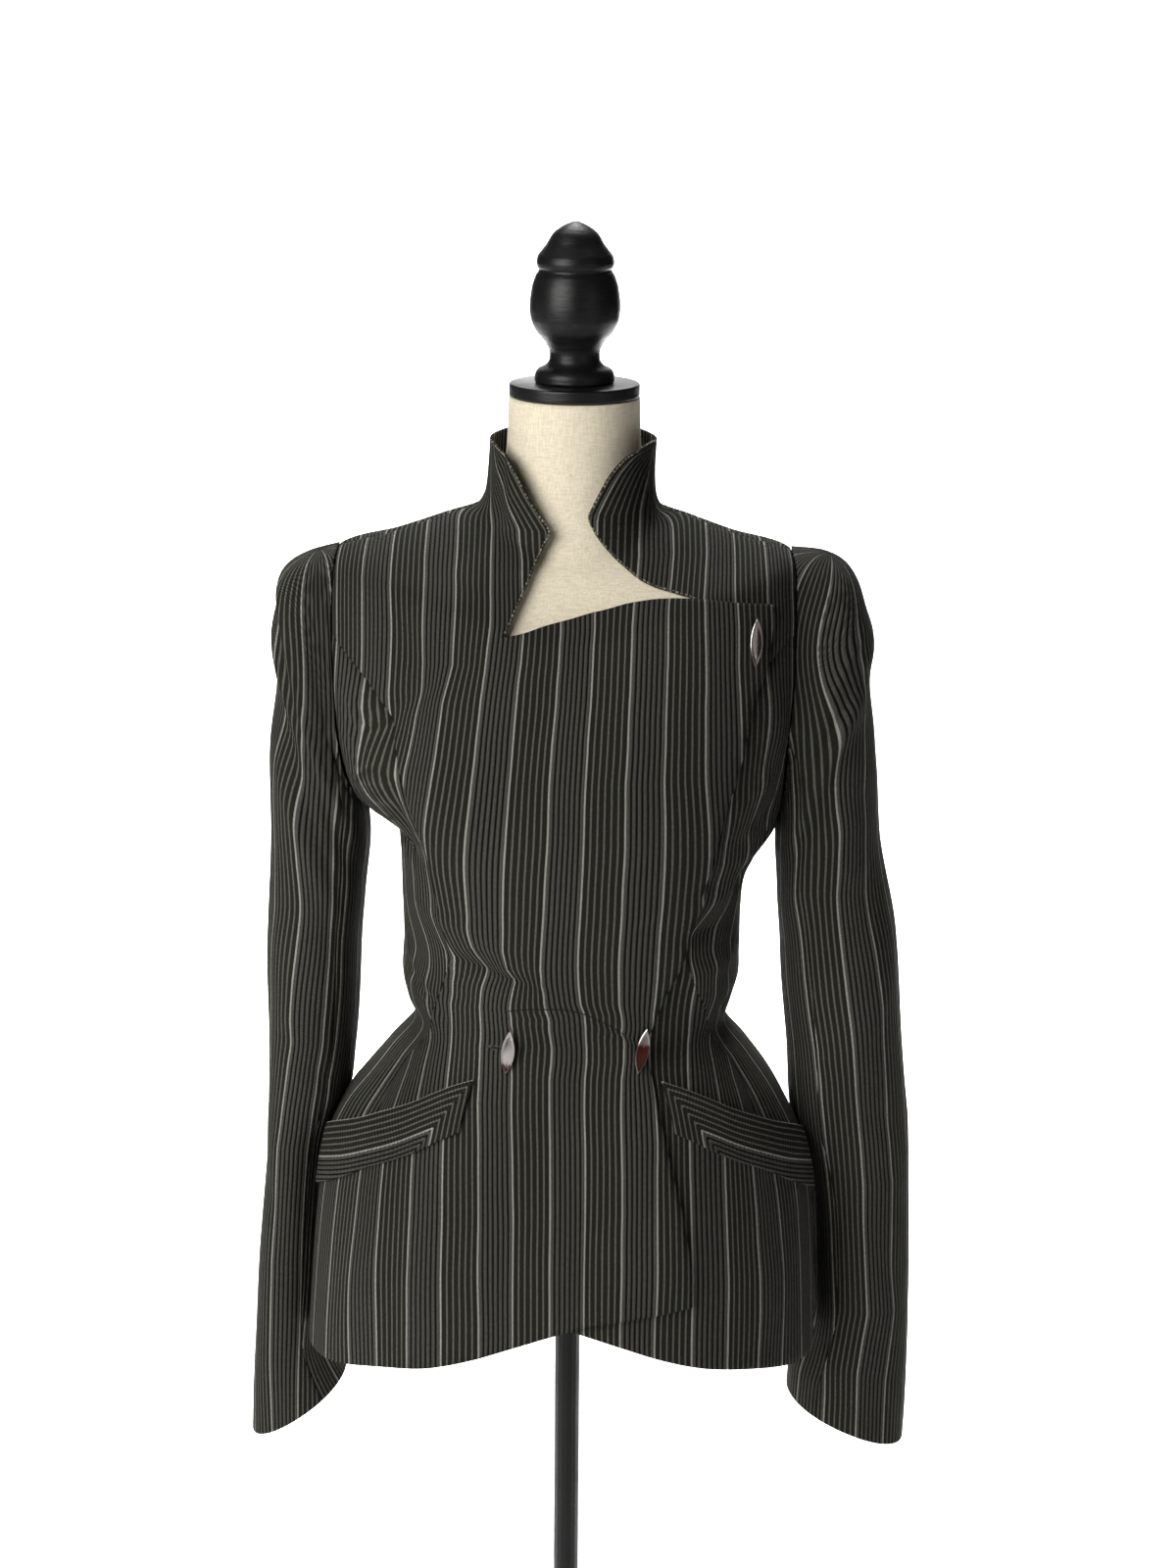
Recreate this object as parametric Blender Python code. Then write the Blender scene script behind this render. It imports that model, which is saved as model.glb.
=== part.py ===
"""Tailored jacket with an asymmetric crossed front, resting on a limbless dress form on a pole.

The cloth is one body surface cut into sewn panels. A point of that surface is given by an angle
round the body (degrees, 0 at the centre front, positive towards the wearer's left, the +X side)
and by a level, which is the height at the side seam up to the armpit and goes on over the
shoulder to the collar's top edge. Metres, +Z up, the floor is z = 0 and the front faces -Y.
"""
import bpy
import numpy as np
from math import cos, pi, radians, sin

# Driving sizes
CLOTH = 0.0016          # thickness of the jacket's cloth
SEAM_GAP = 0.0005       # clear space between two sewn pieces
LAP_LIFT = 0.0040       # the overlapping front lies this much further out than the underlap
WELT = 0.0024           # thickness of a pocket welt, cloth folded double
SEAT = 0.0003           # gap between a piece and what it rests on
MM = 0.001
TURN_LENGTH = 1.9       # millimetres that a degree round the body counts for along a line

# The body surface, a row for each level: where the side is, how wide to each side of the centre,
# how deep to the front and the back, how far the front and back dip below the side, and how
# square the section is (2 is an ellipse)
SECTIONS = dict(
    columns="level side_z right left front back front_dip back_dip squareness",
    rows=(
        (745, 745, 195.0, 185.0, 138, 150, 0, 0, 2.10),
        (820, 820, 191.0, 183.0, 131, 143, 0, 0, 2.10),
        (900, 900, 184.0, 179.0, 122, 131, 0, 0, 2.10),
        (940, 940, 177.0, 171.0, 116, 121, 0, 0, 2.10),
        (971, 971, 163.0, 157.0, 110, 109, 0, 0, 2.10),
        (989, 989, 149.0, 147.0, 106, 100, 0, 0, 2.10),
        (1011, 1011, 131.0, 131.0, 100, 89, 0, 0, 2.10),
        (1036, 1036, 112.0, 113.0, 95, 80, 0, 0, 2.10),
        (1052, 1052, 117.5, 117.0, 98, 80, 0, 0, 2.15),
        (1072, 1072, 121.0, 122.0, 102, 83, 0, 0, 2.20),
        (1102, 1102, 120.0, 122.0, 108, 87, 0, 0, 2.25),
        (1134, 1134, 121.0, 123.0, 115, 92, 0, 0, 2.30),
        (1158, 1158, 121.5, 129.0, 120, 96, 0, 0, 2.30),
        (1174, 1174, 122.5, 134.0, 123, 98, 0, 0, 2.35),
        (1188, 1188, 127.5, 138.0, 124, 100, 0, 0, 2.35),
        (1202, 1202, 140.0, 142.0, 125, 101, 0, 0, 2.40),
        (1220, 1220, 156.0, 147.0, 124, 103, 2, 0, 2.45),
        (1260, 1260, 173.0, 158.0, 118, 105, 8, 2, 2.50),
        (1300, 1300, 178.0, 165.0, 111, 105, 14, 6, 2.50),
        (1340, 1340, 177.0, 166.0, 104, 102, 30, 14, 2.50),
        (1377, 1377, 168.0, 155.5, 96, 95, 48, 22, 2.50),
        (1410, 1389, 129.0, 118.0, 87, 84, 40, 17, 2.40),
        (1440, 1401, 95.0, 86.0, 78, 73, 34, 11, 2.20),
        (1465, 1412, 66.0, 60.0, 69, 63, 28, 6, 2.05),
        (1482, 1424, 60.5, 56.5, 64.5, 60, 24, 2, 2.00),
        (1500, 1438, 59.0, 56.0, 62.5, 58.5, 18, 0, 2.00),
        (1530, 1462, 57.5, 57.0, 61.0, 57.5, 10, -4, 2.00),
    ),
)

# Folds and fullness of the cloth: height out of the surface (negative is a hollow), centre,
# half-length along the fold, half-width across it, and how its length leans from level (degrees)
FOLDS = dict(
    columns="height angle level length width lean",
    rows=(
        (6, -34, 1195, 42, 42, 0),
        (6, 34, 1195, 42, 42, 0),
        (3, -3, 1064, 42, 9, -6),
        (-2, -3, 1040, 42, 12, -4),
        (3, -54, 1088, 42, 19, 38),
        (3, 54, 1088, 42, 19, -38),
        (4, -128, 1080, 48, 12, -25),
        (4, 128, 1080, 48, 12, 25),
        (4, 165, 1062, 60, 11, 8),
        (-4, -165, 1120, 50, 26, 70),
        (3, -62, 845, 50, 20, 82),
        (3, 62, 845, 50, 20, 82),
        (5, -150, 850, 60, 24, 86),
        (5, 150, 850, 60, 24, 86),
        (-4, 180, 850, 60, 22, 90),
        (3, -66, 1268, 36, 15, 62),
        (3, 66, 1262, 36, 15, -62),
    ),
)

# The cloth under each arm swells out over the waist: how far, where the swell starts and is full
# going up, and where it has gone again
UNDERARM = dict(
    right=dict(out=16, start=1177, full=1193, fades=1198, gone=1250),
    left=dict(out=12, start=1146, full=1182, fades=1205, gone=1250),
)
UNDERARM_SPREAD = 21.0   # degrees round from the side

# How far out from the centre the armhole seam runs, by height
ARMHOLE = dict(
    right=((1180, 143.0), (1195, 147.5), (1210, 152.5), (1235, 159.0), (1270, 164.0),
           (1330, 167.0), (1365, 166.2), (1395, 164.5)),
    left=((1165, 146.0), (1195, 148.0), (1215, 149.5), (1253, 150.5), (1295, 154.5),
          (1332, 155.0), (1365, 155.0), (1395, 151.5)),
)

# Lines that both fronts share. Angles here count from the centre front towards the wearer's own
# side of that front, so a line that crosses the centre goes negative
HEM = ((90, 778), (74, 781), (56, 792.5), (40, 802.5), (29, 812), (17.5, 823), (5.5, 833),
       (-5, 840), (-17, 844), (-37.8, 850.5))
BACK_HEM = 772
POCKET = dict(
    columns="angle top bottom",
    rows=((36.3, 1012, 977), (43, 1005, 968.5), (50, 996, 957), (57, 985.5, 947),
          (64, 976, 937), (71, 966.5, 924), (79, 957, 912), (89, 945, 898)),
)
POCKET_CUT = 10          # the cloth is cut this far above the welt's lower edge, behind the welt
WELT_SLANT = 1.4         # degrees that the lower corner of a welt's front end lies further back
WELT_GAP = 0.0008        # clear space between a welt and the front
WELT_GAPE = 0.0042       # how far the middle of a welt's upper edge stands away besides
WELT_COLUMNS = 12
WELT_ROWS = 3
POCKET_START = 39.5      # angle of the pocket's front end
POCKET_ROW = 990         # level at the free edge of the row that goes to the pocket's front end
PRINCESS_LOW = ((52.8, 1269.5), (48.5, 1228), (46.8, 1205), (46.8, 1180), (46.6, 1155),
                (43.8, 1125), (43.5, 1104), (49, 1078.5), (58.5, 1053.5), (66, 1030),
                (68.5, 1005), (67, 975))
FRONTS = dict(
    right=dict(
        princess=((67.8, 1319.5), (61, 1306), (56.8, 1293.5)),
        princess_top=1329.5,
        collar=((75.8, 1524), (67.8, 1527), (60, 1525.5), (47.8, 1524), (41.5, 1520.5),
                (34.2, 1512.5), (26.8, 1502), (20.5, 1494.5), (12.8, 1484)),
        neck=((12.8, 1484), (16.8, 1470.5), (19.8, 1453.5), (21.5, 1433.5), (23.5, 1407.5),
              (25.8, 1372)),
        top=((25.8, 1372), (20.8, 1380.5), (11.8, 1396), (0.8, 1406), (-10.5, 1411.5),
             (-21.5, 1412), (-31.3, 1407.5), (-39.5, 1398.5), (-45.5, 1388.5),
             (-55, 1370.5), (-64.2, 1359.5)),
        edge=((-37.8, 850.5), (-38, 870), (-37, 911), (-34.8, 950), (-33.3, 990),
              (-32.6, 1020), (-32, 1045), (-33.5, 1060), (-36.5, 1080), (-40.3, 1100),
              (-43, 1130), (-43.4, 1170), (-44.8, 1212), (-49.4, 1240), (-53, 1274),
              (-55.2, 1296), (-60, 1318), (-61.8, 1341), (-64.2, 1359.5)),
        column=((39.5, 986), (38.5, 1040), (36, 1110), (37, 1190), (36, 1260), (32, 1320),
                (25.8, 1372)),
    ),
    left=dict(
        princess=((66.8, 1328), (59.5, 1315.5), (55.8, 1298)),
        princess_top=1333,
        collar=((79, 1526), (67, 1529), (51.8, 1529.5), (40.2, 1529), (31.8, 1525.5),
                (24, 1519), (18, 1510.5), (13.2, 1502.5), (8.8, 1494)),
        neck=((8.8, 1494), (13, 1483.5), (17.2, 1475.5), (21.8, 1466.5), (26.8, 1452.5),
              (31.8, 1433.5), (36.5, 1418.5), (41, 1406.5), (45.8, 1389.5), (47.5, 1374)),
        top=((47.5, 1374), (40, 1381), (32, 1388), (20, 1392), (0, 1386), (-12, 1376),
             (-30, 1350)),
        edge=((-37.8, 850.5), (-35, 930), (-33, 990), (-31, 1045), (-33, 1110),
              (-34, 1190), (-32, 1270), (-30, 1350)),
        column=((39.5, 986), (38, 1040), (37, 1110), (39, 1190), (43, 1260), (47, 1320),
                (47.5, 1374)),
    ),
)
COLLAR_SEAM = 1465       # level of the neck seam round the back
COLLAR_TOP = 1527
BACK_SEAM = ((142, 772), (145, 900), (150, 1036), (147, 1120), (138, 1210), (124, 1270))
BACK_SEAM_TOP = 1300
YOKE = 1335              # level of the row that crosses the back there

# A sleeve, a row for each ring: the two ends of the flattened ring as x out from the centre and z,
# half its depth from front to back, and where its middle lies in y
SLEEVES = dict(
    right=dict(
        columns="inner inner_z outer outer_z depth middle",
        rows=(
            (150.0, 1196, 167.5, 1379.5, 70, 0),
            (149.0, 1190, 187.0, 1374, 68, 1),
            (146.5, 1184, 199.0, 1366, 66, 1),
            (146.0, 1177, 207.0, 1352, 64, 2),
            (146.5, 1168, 210.0, 1330, 62, 3),
            (148.4, 1149, 211.3, 1297, 60, 5),
            (151.6, 1124, 213.0, 1247, 58, 7),
            (153.7, 1098, 216.0, 1180, 56, 9),
            (156.5, 1055, 220.0, 1110, 54, 13),
            (160.6, 1004, 225.0, 1032, 52, 22),
            (166.5, 970, 228.9, 969, 51, 30),
            (181.0, 935, 231.0, 924, 50, 37),
            (186.5, 895, 233.0, 882, 50, 44),
            (190.0, 835, 236.5, 825, 49, 50),
            (193.0, 780, 239.0, 762, 48, 50),
            (191.0, 762, 240.3, 735, 48, 50),
            (183.5, 745, 241.6, 708, 48, 50),
            (172.5, 726, 242.7, 678, 48, 50),
        ),
    ),
    left=dict(
        columns="inner inner_z outer outer_z depth middle",
        rows=(
            (152.0, 1190, 157.0, 1379.5, 70, 0),
            (151.0, 1185, 176.0, 1378, 68, 1),
            (149.5, 1179, 192.0, 1372, 66, 1),
            (149.6, 1170, 203.0, 1357, 64, 2),
            (150.0, 1160, 209.0, 1332, 62, 3),
            (150.8, 1147, 213.3, 1298, 60, 4),
            (152.4, 1123, 214.2, 1240, 58, 5),
            (154.0, 1100, 222.5, 1178, 57, 7),
            (156.5, 1068, 241.5, 1098, 56, 10),
            (162.3, 1010, 249.5, 1022, 55, 20),
            (166.6, 955, 254.0, 945, 53, 33),
            (180.0, 910, 256.0, 898, 52, 42),
            (188.0, 860, 258.2, 850, 51, 48),
            (190.0, 800, 260.0, 790, 50, 50),
            (186.0, 778, 260.3, 752, 49, 50),
            (179.0, 757, 260.2, 725, 49, 50),
            (173.0, 738, 259.8, 698, 49, 50),
            (171.3, 714, 259.0, 676, 49, 50),
        ),
    ),
)
SLEEVE_SQUARENESS = 2.2
ARMPIT_GAP = 0.0006      # further clear space under the arm, where cloth bends sharply
CLEAR_OF_HIP = 3.6       # millimetres between the hanging sleeve and the cloth of the body
HEAD_RINGS = 6.0         # the armhole's own outline turns into a plain oval over this many rings
UNDER_SLEEVE = (0.34, 0.64)   # the under sleeve's share of the way round, from the top, front first
SLEEVE_SEAM = 0.0007     # share of the way round that each sleeve piece stops short of its seam
# Waves of the sleeve: height, place down the sleeve (ring number), how long, place round
SLEEVE_WAVES = dict(
    columns="height ring length round reach",
    rows=((3.0, 4.4, 0.55, 0.10, 0.22), (-2.5, 5.3, 0.5, 0.14, 0.22), (3.0, 6.2, 0.6, 0.08, 0.24),
          (-2.5, 7.3, 0.6, 0.20, 0.22), (3.0, 8.4, 0.7, 0.85, 0.25), (-2.5, 9.4, 0.6, 0.80, 0.2)),
)

# Metal buttons, pointed ovals on a shank. Seat is how far the shank starts from the smooth surface
# of the front, in millimetres, so that it ends just clear of the flat facets of the cloth there
BUTTONS = dict(
    columns="name angle level lean seat",
    rows=(("button_chest", 56.3, 1340, 6, -0.8), ("button_waist_right", -24.3, 1037.5, 6, 1.0),
          ("button_waist_left", 28.9, 1038, 10, 1.0)),
)
BUTTON_LENGTH = 0.035
BUTTON_WIDTH = 0.0115
BUTTON_POINT = 0.5       # the higher, the more pointed the oval's ends
SHANK = dict(radius=0.0024, height=0.0042, step=0.0002)
# Rings of a button from the cloth outwards: share of the outline, height above the shank
BUTTON_RINGS = ((0.72, 0.0), (0.97, 0.8), (1.0, 1.3), (0.93, 2.0), (0.80, 1.7), (0.40, 2.9),
                (0.08, 3.4))

# Dress form
FORM_GAP = ((872, 12), (1000, 7), (1036, 7), (1100, 8), (1174, 6), (1220, 7), (1290, 6),
            (1340, 4), (1377, 2.2), (1452, 2.0), (1465, 5))
FORM_BOTTOM = 872
FORM_LEVELS = (872, 920, 960, 995, 1036, 1075, 1120, 1160, 1195, 1235, 1275, 1315, 1345, 1365,
               1380, 1400, 1420, 1440, 1455, 1465)
ARM_PLATE = dict(right=0.150, left=0.141)   # the flat ends of the form's shoulders
NECK = ((1424, 54.0, 9), (1438, 50.0, 5), (1456, 47.2, 1), (1488, 46.2, 0))
DISC = ((43.5, 1488.3), (45.6, 1489.2), (46.0, 1490.5), (46.0, 1496.5), (45.4, 1497.8),
        (43.5, 1498.2))
FINIAL = ((27.0, 1498.5), (28.0, 1500), (28.0, 1503), (26.5, 1507), (20.0, 1511), (17.8, 1515),
          (17.6, 1519), (20.5, 1526), (27.0, 1534), (31.2, 1544), (31.8, 1551), (30.4, 1564),
          (27.6, 1573), (25.4, 1577), (26.6, 1579), (27.2, 1582), (26.4, 1586), (24.0, 1589.5),
          (20.5, 1594), (15.5, 1602), (8.0, 1607.5), (2.0, 1610))
POLE_RADIUS = 0.0095
BASE = ((158, 0), (163, 2), (165, 5), (165, 12), (161, 16), (120, 18.5), (30, 20.5), (22, 22),
        (19, 26), (17, 40), (14, 43))


def named_columns(table):
    """The columns of a table, each as one array under its name."""
    columns = zip(*table["rows"])
    return {name: np.array(values) for name, values in zip(table["columns"].split(), columns)}


def curve(places, values):
    """A smooth line through the points that never overshoots between two of them."""
    x = np.asarray(places, float)
    y = np.asarray(values, float)
    step = np.diff(x)
    rise = np.diff(y) / step
    slope = np.zeros_like(y)
    slope[0] = rise[0]
    slope[-1] = rise[-1]
    before = 2 * step[1:] + step[:-1]
    after = step[1:] + 2 * step[:-1]
    same_way = rise[:-1] * rise[1:] > 0
    safe = np.where(same_way, rise[:-1], 1), np.where(same_way, rise[1:], 1)
    slope[1:-1] = np.where(same_way, (before + after) / (before / safe[0] + after / safe[1]), 0)

    def at(place):
        place = np.clip(np.asarray(place, float), x[0], x[-1])
        left = np.clip(np.searchsorted(x, place) - 1, 0, len(x) - 2)
        width = x[left + 1] - x[left]
        t = (place - x[left]) / width
        return ((2 * t**3 - 3 * t**2 + 1) * y[left] + (t**3 - 2 * t**2 + t) * width * slope[left]
                + (3 * t**2 - 2 * t**3) * y[left + 1] + (t**3 - t**2) * width * slope[left + 1])

    return at


def ease(value, start, end):
    """0 before start, 1 after end, smooth between."""
    t = np.clip((value - start) / (end - start), 0, 1)
    return t * t * (3 - 2 * t)


sections = named_columns(SECTIONS)
section = {name: curve(sections["level"], values) for name, values in sections.items()}
folds = [dict(zip(FOLDS["columns"].split(), row)) for row in FOLDS["rows"]]


def underarm(angle, level):
    """How far the cloth swells out under the arms, in millimetres."""
    out = np.zeros(np.broadcast(angle, level).shape)
    for side, swell in ((-1, UNDERARM["right"]), (1, UNDERARM["left"])):
        turn = (angle - side * 90 + 180) % 360 - 180
        height = ease(level, swell["start"], swell["full"]) * (1 - ease(level, swell["fades"],
                                                                        swell["gone"]))
        out = out + swell["out"] * height * np.exp(-(turn / UNDERARM_SPREAD) ** 2)
    return out


def fold_height(angle, level, radius):
    """Sum of the folds' soft ridges and hollows, in millimetres."""
    out = np.zeros(np.broadcast(angle, level).shape)
    for fold in folds:
        turn = (angle - fold["angle"] + 180) % 360 - 180
        across = radians(1) * turn * radius
        up = level - fold["level"]
        lean = radians(fold["lean"])
        along = across * cos(lean) + up * sin(lean)
        aside = -across * sin(lean) + up * cos(lean)
        out = out + fold["height"] * np.exp(-(along / fold["length"]) ** 2
                                            - (aside / fold["width"]) ** 2)
    return out


def body(angle, level, cloth=True):
    """Point of the body surface: a rounded section round the body whose front and back dip."""
    angle, level = np.broadcast_arrays(np.asarray(angle, float), np.asarray(level, float))
    s = np.sin(np.radians(angle))
    c = np.cos(np.radians(angle))
    leftward = (1 + s) / 2
    side = section["right"](level) * (1 - leftward) + section["left"](level) * leftward
    depth = np.where(c > 0, section["front"](level), section["back"](level))
    dip = np.where(c > 0, section["front_dip"](level), section["back_dip"](level))
    power = section["squareness"](level)
    radius = (np.abs(s / side) ** power + np.abs(c / depth) ** power) ** (-1 / power)
    if cloth:
        radius = radius + underarm(angle, level) + fold_height(angle, level, radius)
    z = section["side_z"](level) - dip * c * c
    return np.stack([radius * s, -radius * c, z], -1) * MM


def outward(angle, level, cloth=True):
    """Unit normal of the body surface, from its slopes round and up."""
    round_slope = body(angle + 0.5, level, cloth) - body(angle - 0.5, level, cloth)
    up_slope = body(angle, level + 1.0, cloth) - body(angle, level - 1.0, cloth)
    normal = np.cross(round_slope, up_slope)
    return normal / np.linalg.norm(normal, axis=-1, keepdims=True)


def lap(angle):
    """How far out the overlapping front lies: nothing at the side, all of it past the princess."""
    return LAP_LIFT * ease(angle, -54.0, -40.0)


def armhole_x(side, z):
    """Distance of the armhole seam from the centre at this height."""
    heights, outs = zip(*ARMHOLE[side])
    return curve(heights, outs)(z)


def sign(side):
    """-1 for the wearer's right, the -X side, and 1 for the left."""
    return -1 if side == "right" else 1


def past_armhole(side, angle, level):
    """How far outside the armhole seam a point lies; angle counts towards that side."""
    point = body(sign(side) * angle, level) / MM
    return np.abs(point[..., 0]) - armhole_x(side, point[..., 2])


def armhole_angle(side, level, back):
    """Angle at which the armhole seam crosses this level, in front of the side or behind it."""
    inside = np.full(np.shape(level), 179.0 if back else 1.0)
    outside = np.full(np.shape(level), 90.0)
    for _ in range(40):
        middle = (inside + outside) / 2
        out = past_armhole(side, middle, level) > 0
        outside = np.where(out, middle, outside)
        inside = np.where(out, inside, middle)
    return (inside + outside) / 2


def armhole_end(side, low, high):
    """Level at which the side itself, between two levels, crosses the armhole seam."""
    low_is_out = past_armhole(side, 90.0, low) > 0
    for _ in range(40):
        middle = (low + high) / 2
        if (past_armhole(side, 90.0, middle) > 0) == low_is_out:
            low = middle
        else:
            high = middle
    return (low + high) / 2


ARMHOLE_LEVELS = {side: (armhole_end(side, 1160.0, 1240.0), armhole_end(side, 1370.0, 1409.0))
                  for side in ("right", "left")}


def evenly(points, count):
    """A smooth line through the points, cut into equal stretches."""
    points = np.asarray(points, float)
    scale = np.array([TURN_LENGTH, 1.0])
    run = np.concatenate([[0], np.cumsum(np.linalg.norm(np.diff(points * scale, axis=0), axis=1))])
    if len(points) == 2:
        fine = points[0] + (points[1] - points[0]) * np.linspace(0, 1, 401)[:, None]
    else:
        place = np.linspace(0, run[-1], 401)
        fine = np.stack([curve(run, points[:, 0])(place), curve(run, points[:, 1])(place)], -1)
    steps = np.linalg.norm(np.diff(fine * scale, axis=0), axis=1)
    length = np.concatenate([[0], np.cumsum(steps)])
    want = np.linspace(0, length[-1], count + 1)
    return np.stack([np.interp(want, length, fine[:, 0]), np.interp(want, length, fine[:, 1])], -1)


def rising(points, levels):
    """A tall line cut at these levels."""
    angles, heights = zip(*points)
    return np.stack([curve(heights, angles)(levels), np.asarray(levels, float)], -1)


def like(levels, start, end):
    """Levels that follow the given ones, but start and end elsewhere."""
    share = np.linspace(0, 1, len(levels))
    return (levels + (start - levels[0]) * (1 - ease(share, 0, 0.35))
            + (end - levels[-1]) * ease(share, 0.25, 1))


def joined(*lines):
    """Several sampled lines end to end, with the shared points once."""
    return np.concatenate([lines[0]] + [line[1:] for line in lines[1:]])


def patch(bottom, top, left, right):
    """Blend four sampled edges into a grid of (angle, level): rows go from bottom to top."""
    u = np.linspace(0, 1, len(bottom))[None, :, None]
    v = np.linspace(0, 1, len(left))[:, None, None]
    across = (1 - v) * bottom[None] + v * top[None]
    up = (1 - u) * left[:, None] + u * right[:, None]
    corners = ((1 - u) * (1 - v) * bottom[0] + u * (1 - v) * bottom[-1]
               + (1 - u) * v * top[0] + u * v * top[-1])
    return across + up - corners


def armhole_line(side, low, high, back, count):
    """The armhole seam between two levels."""
    turn = np.linspace(0, pi, 121)
    level = low + (high - low) * (1 - np.cos(turn)) / 2
    angle = armhole_angle(side, level, back)
    bottom, top = ARMHOLE_LEVELS[side]
    angle = np.where(np.abs(level - bottom) < 0.01, 90.0, angle)
    angle = np.where(np.abs(level - top) < 0.01, 90.0, angle)
    return evenly(np.stack([angle, level], -1), count)


# Panels as sheets of quads

def sheet(grids):
    """Join grids of (angle, level) into one list of points and one of quads."""
    index = {}
    quads = []
    for grid in grids:
        rows, columns = grid.shape[:2]
        ids = np.zeros((rows, columns), int)
        for r in range(rows):
            for c in range(columns):
                key = (round(float(grid[r, c, 0]), 3), round(float(grid[r, c, 1]), 3))
                ids[r, c] = index.setdefault(key, len(index))
        for r in range(rows - 1):
            for c in range(columns - 1):
                quads.append((ids[r, c], ids[r, c + 1], ids[r + 1, c + 1], ids[r + 1, c]))
    return np.array(list(index)), quads


def open_edges(quads):
    """The edges that only one quad has, in that quad's direction."""
    edges = [(quad[k], quad[(k + 1) % 4]) for quad in quads for k in range(4)]
    known = set(edges)
    return [(a, b) for a, b in edges if (b, a) not in known]


def drawn_in(points, normals, edges, amount):
    """Move the open edge's points into the sheet by the same amount along every edge."""
    ways = {}
    for a, b in edges:
        along = points[b] - points[a]
        for end in (a, b):
            way = np.cross(normals[end], along)
            ways.setdefault(end, []).append(way / np.linalg.norm(way))
    moved = points.copy()
    for point, (first, second) in ways.items():
        share = max(1 + float(first @ second), 0.35)
        moved[point] = points[point] + (first + second) * amount / share
    return moved


def halves(quad, points):
    """The two triangles of a quad, cut along its shorter diagonal."""
    a, b, c, d = quad
    if np.linalg.norm(points[a] - points[c]) < np.linalg.norm(points[b] - points[d]):
        return (a, b, c), (a, c, d)
    return (a, b, d), (b, c, d)


def wall(name, points, normals, quads, thickness, colour, roughness=0.8, metallic=0.0):
    """A closed wall: the sheet, a second sheet moved out by the thickness, and the rim."""
    first = quads[len(quads) // 2]
    facing = np.cross(points[first[1]] - points[first[0]], points[first[3]] - points[first[0]])
    if facing @ normals[first[0]] < 0:
        quads = [quad[::-1] for quad in quads]
    edges = open_edges(quads)
    inner = drawn_in(points, normals, edges, SEAM_GAP / 2)
    outer = inner + normals * thickness
    count = len(points)
    corners = [corner for quad in quads for corner in halves(quad, points)]
    faces = [tuple(int(i) + count for i in corner) for corner in corners]
    faces += [tuple(int(i) for i in corner[::-1]) for corner in corners]
    faces += [(int(b) + count, int(a) + count, int(a), int(b)) for a, b in edges]
    return solid(name, np.concatenate([inner, outer]), faces, colour, roughness, metallic)


def loft(name, rings, colour, roughness=0.5, metallic=0.0):
    """A closed solid through rings of equal count, first ring lowest, ends closed by a fan."""
    rings = [np.asarray(ring, float) for ring in rings]
    count = len(rings[0])
    points = np.concatenate(rings + [rings[0].mean(0)[None], rings[-1].mean(0)[None]])
    faces = []
    for k in range(len(rings) - 1):
        for i in range(count):
            j = (i + 1) % count
            faces.append((k * count + i, k * count + j, (k + 1) * count + j, (k + 1) * count + i))
    low = len(rings) * count
    last = (len(rings) - 1) * count
    for i in range(count):
        j = (i + 1) % count
        faces.append((low, j, i))
        faces.append((low + 1, last + i, last + j))
    return solid(name, points, faces, colour, roughness, metallic)


def solid(name, points, faces, colour, roughness, metallic):
    """A mesh object with its own material, under the empty of its half of the object."""
    mesh = bpy.data.meshes.new(name)
    mesh.from_pydata([tuple(map(float, point)) for point in points], [], faces)
    mesh.update()
    mesh.shade_smooth()
    mesh.set_sharp_from_angle(angle=radians(50))
    material = bpy.data.materials.new(name + "_finish")
    material.use_nodes = True
    shader = material.node_tree.nodes["Principled BSDF"]
    shader.inputs["Base Color"].default_value = (*colour, 1.0)
    shader.inputs["Roughness"].default_value = roughness
    shader.inputs["Metallic"].default_value = metallic
    mesh.materials.append(material)
    piece = bpy.data.objects.new(name, mesh)
    bpy.context.collection.objects.link(piece)
    piece.parent = stand if name.startswith("form_") else jacket
    return piece


def panel(name, side, grids, lift=None, thickness=CLOTH, colour=(0.045, 0.047, 0.040)):
    """One sewn piece of the body, from grids whose angles count towards its side."""
    places, quads = sheet(grids)
    angle = sign(side) * places[:, 0]
    level = places[:, 1]
    normals = outward(angle, level)
    points = body(angle, level)
    if lift is not None:
        points = points + normals * lift(angle, places)[:, None]
    return wall(name, points, normals, quads, thickness, colour)


# Jacket

# Numbers of quads along the panels' edges
SKIRT_ROWS = 6
BODY_ROWS = 22
SIDE_COLUMNS = 3
POCKET_COLUMNS = 5
FRONT_COLUMNS = 8
ARM_ROWS = 5
SHOULDER_ROWS = 5
COLLAR_ROWS = 2
BACK_COLUMNS = 7
SIDE_BACK_COLUMNS = 4
HEAD_ROWS = 7
ARM_LENGTH_ROWS = 13
SLEEVE_COLUMNS = 20


def hem_line(start, end, count):
    """The front hem between two angles."""
    angles, levels = zip(*HEM[::-1])
    angle = np.linspace(start, end, 60)
    return evenly(np.stack([angle, curve(angles, levels)(angle)], -1), count)


def pocket_cut(start, end, count):
    """The line behind the welt where the skirt of the front is cut from what is above it."""
    pocket = named_columns(POCKET)
    angle = np.linspace(start, end, 60)
    level = curve(pocket["angle"], pocket["bottom"])(angle) + POCKET_CUT
    return evenly(np.stack([angle, level], -1), count)


def cut_level(angle):
    """Level of the pocket cut at one angle."""
    return float(pocket_cut(angle, angle + 0.01, 1)[0, 1])


def princess(side):
    """The curved seam from the pocket up to the armhole."""
    lines = FRONTS[side]
    top = (float(armhole_angle(side, lines["princess_top"], False)), lines["princess_top"])
    low = PRINCESS_LOW[-1][0], cut_level(PRINCESS_LOW[-1][0])
    points = (top,) + lines["princess"] + PRINCESS_LOW + (low,)
    return rising(points[::-1], np.linspace(low[1], top[1], BODY_ROWS + 1))


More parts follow.
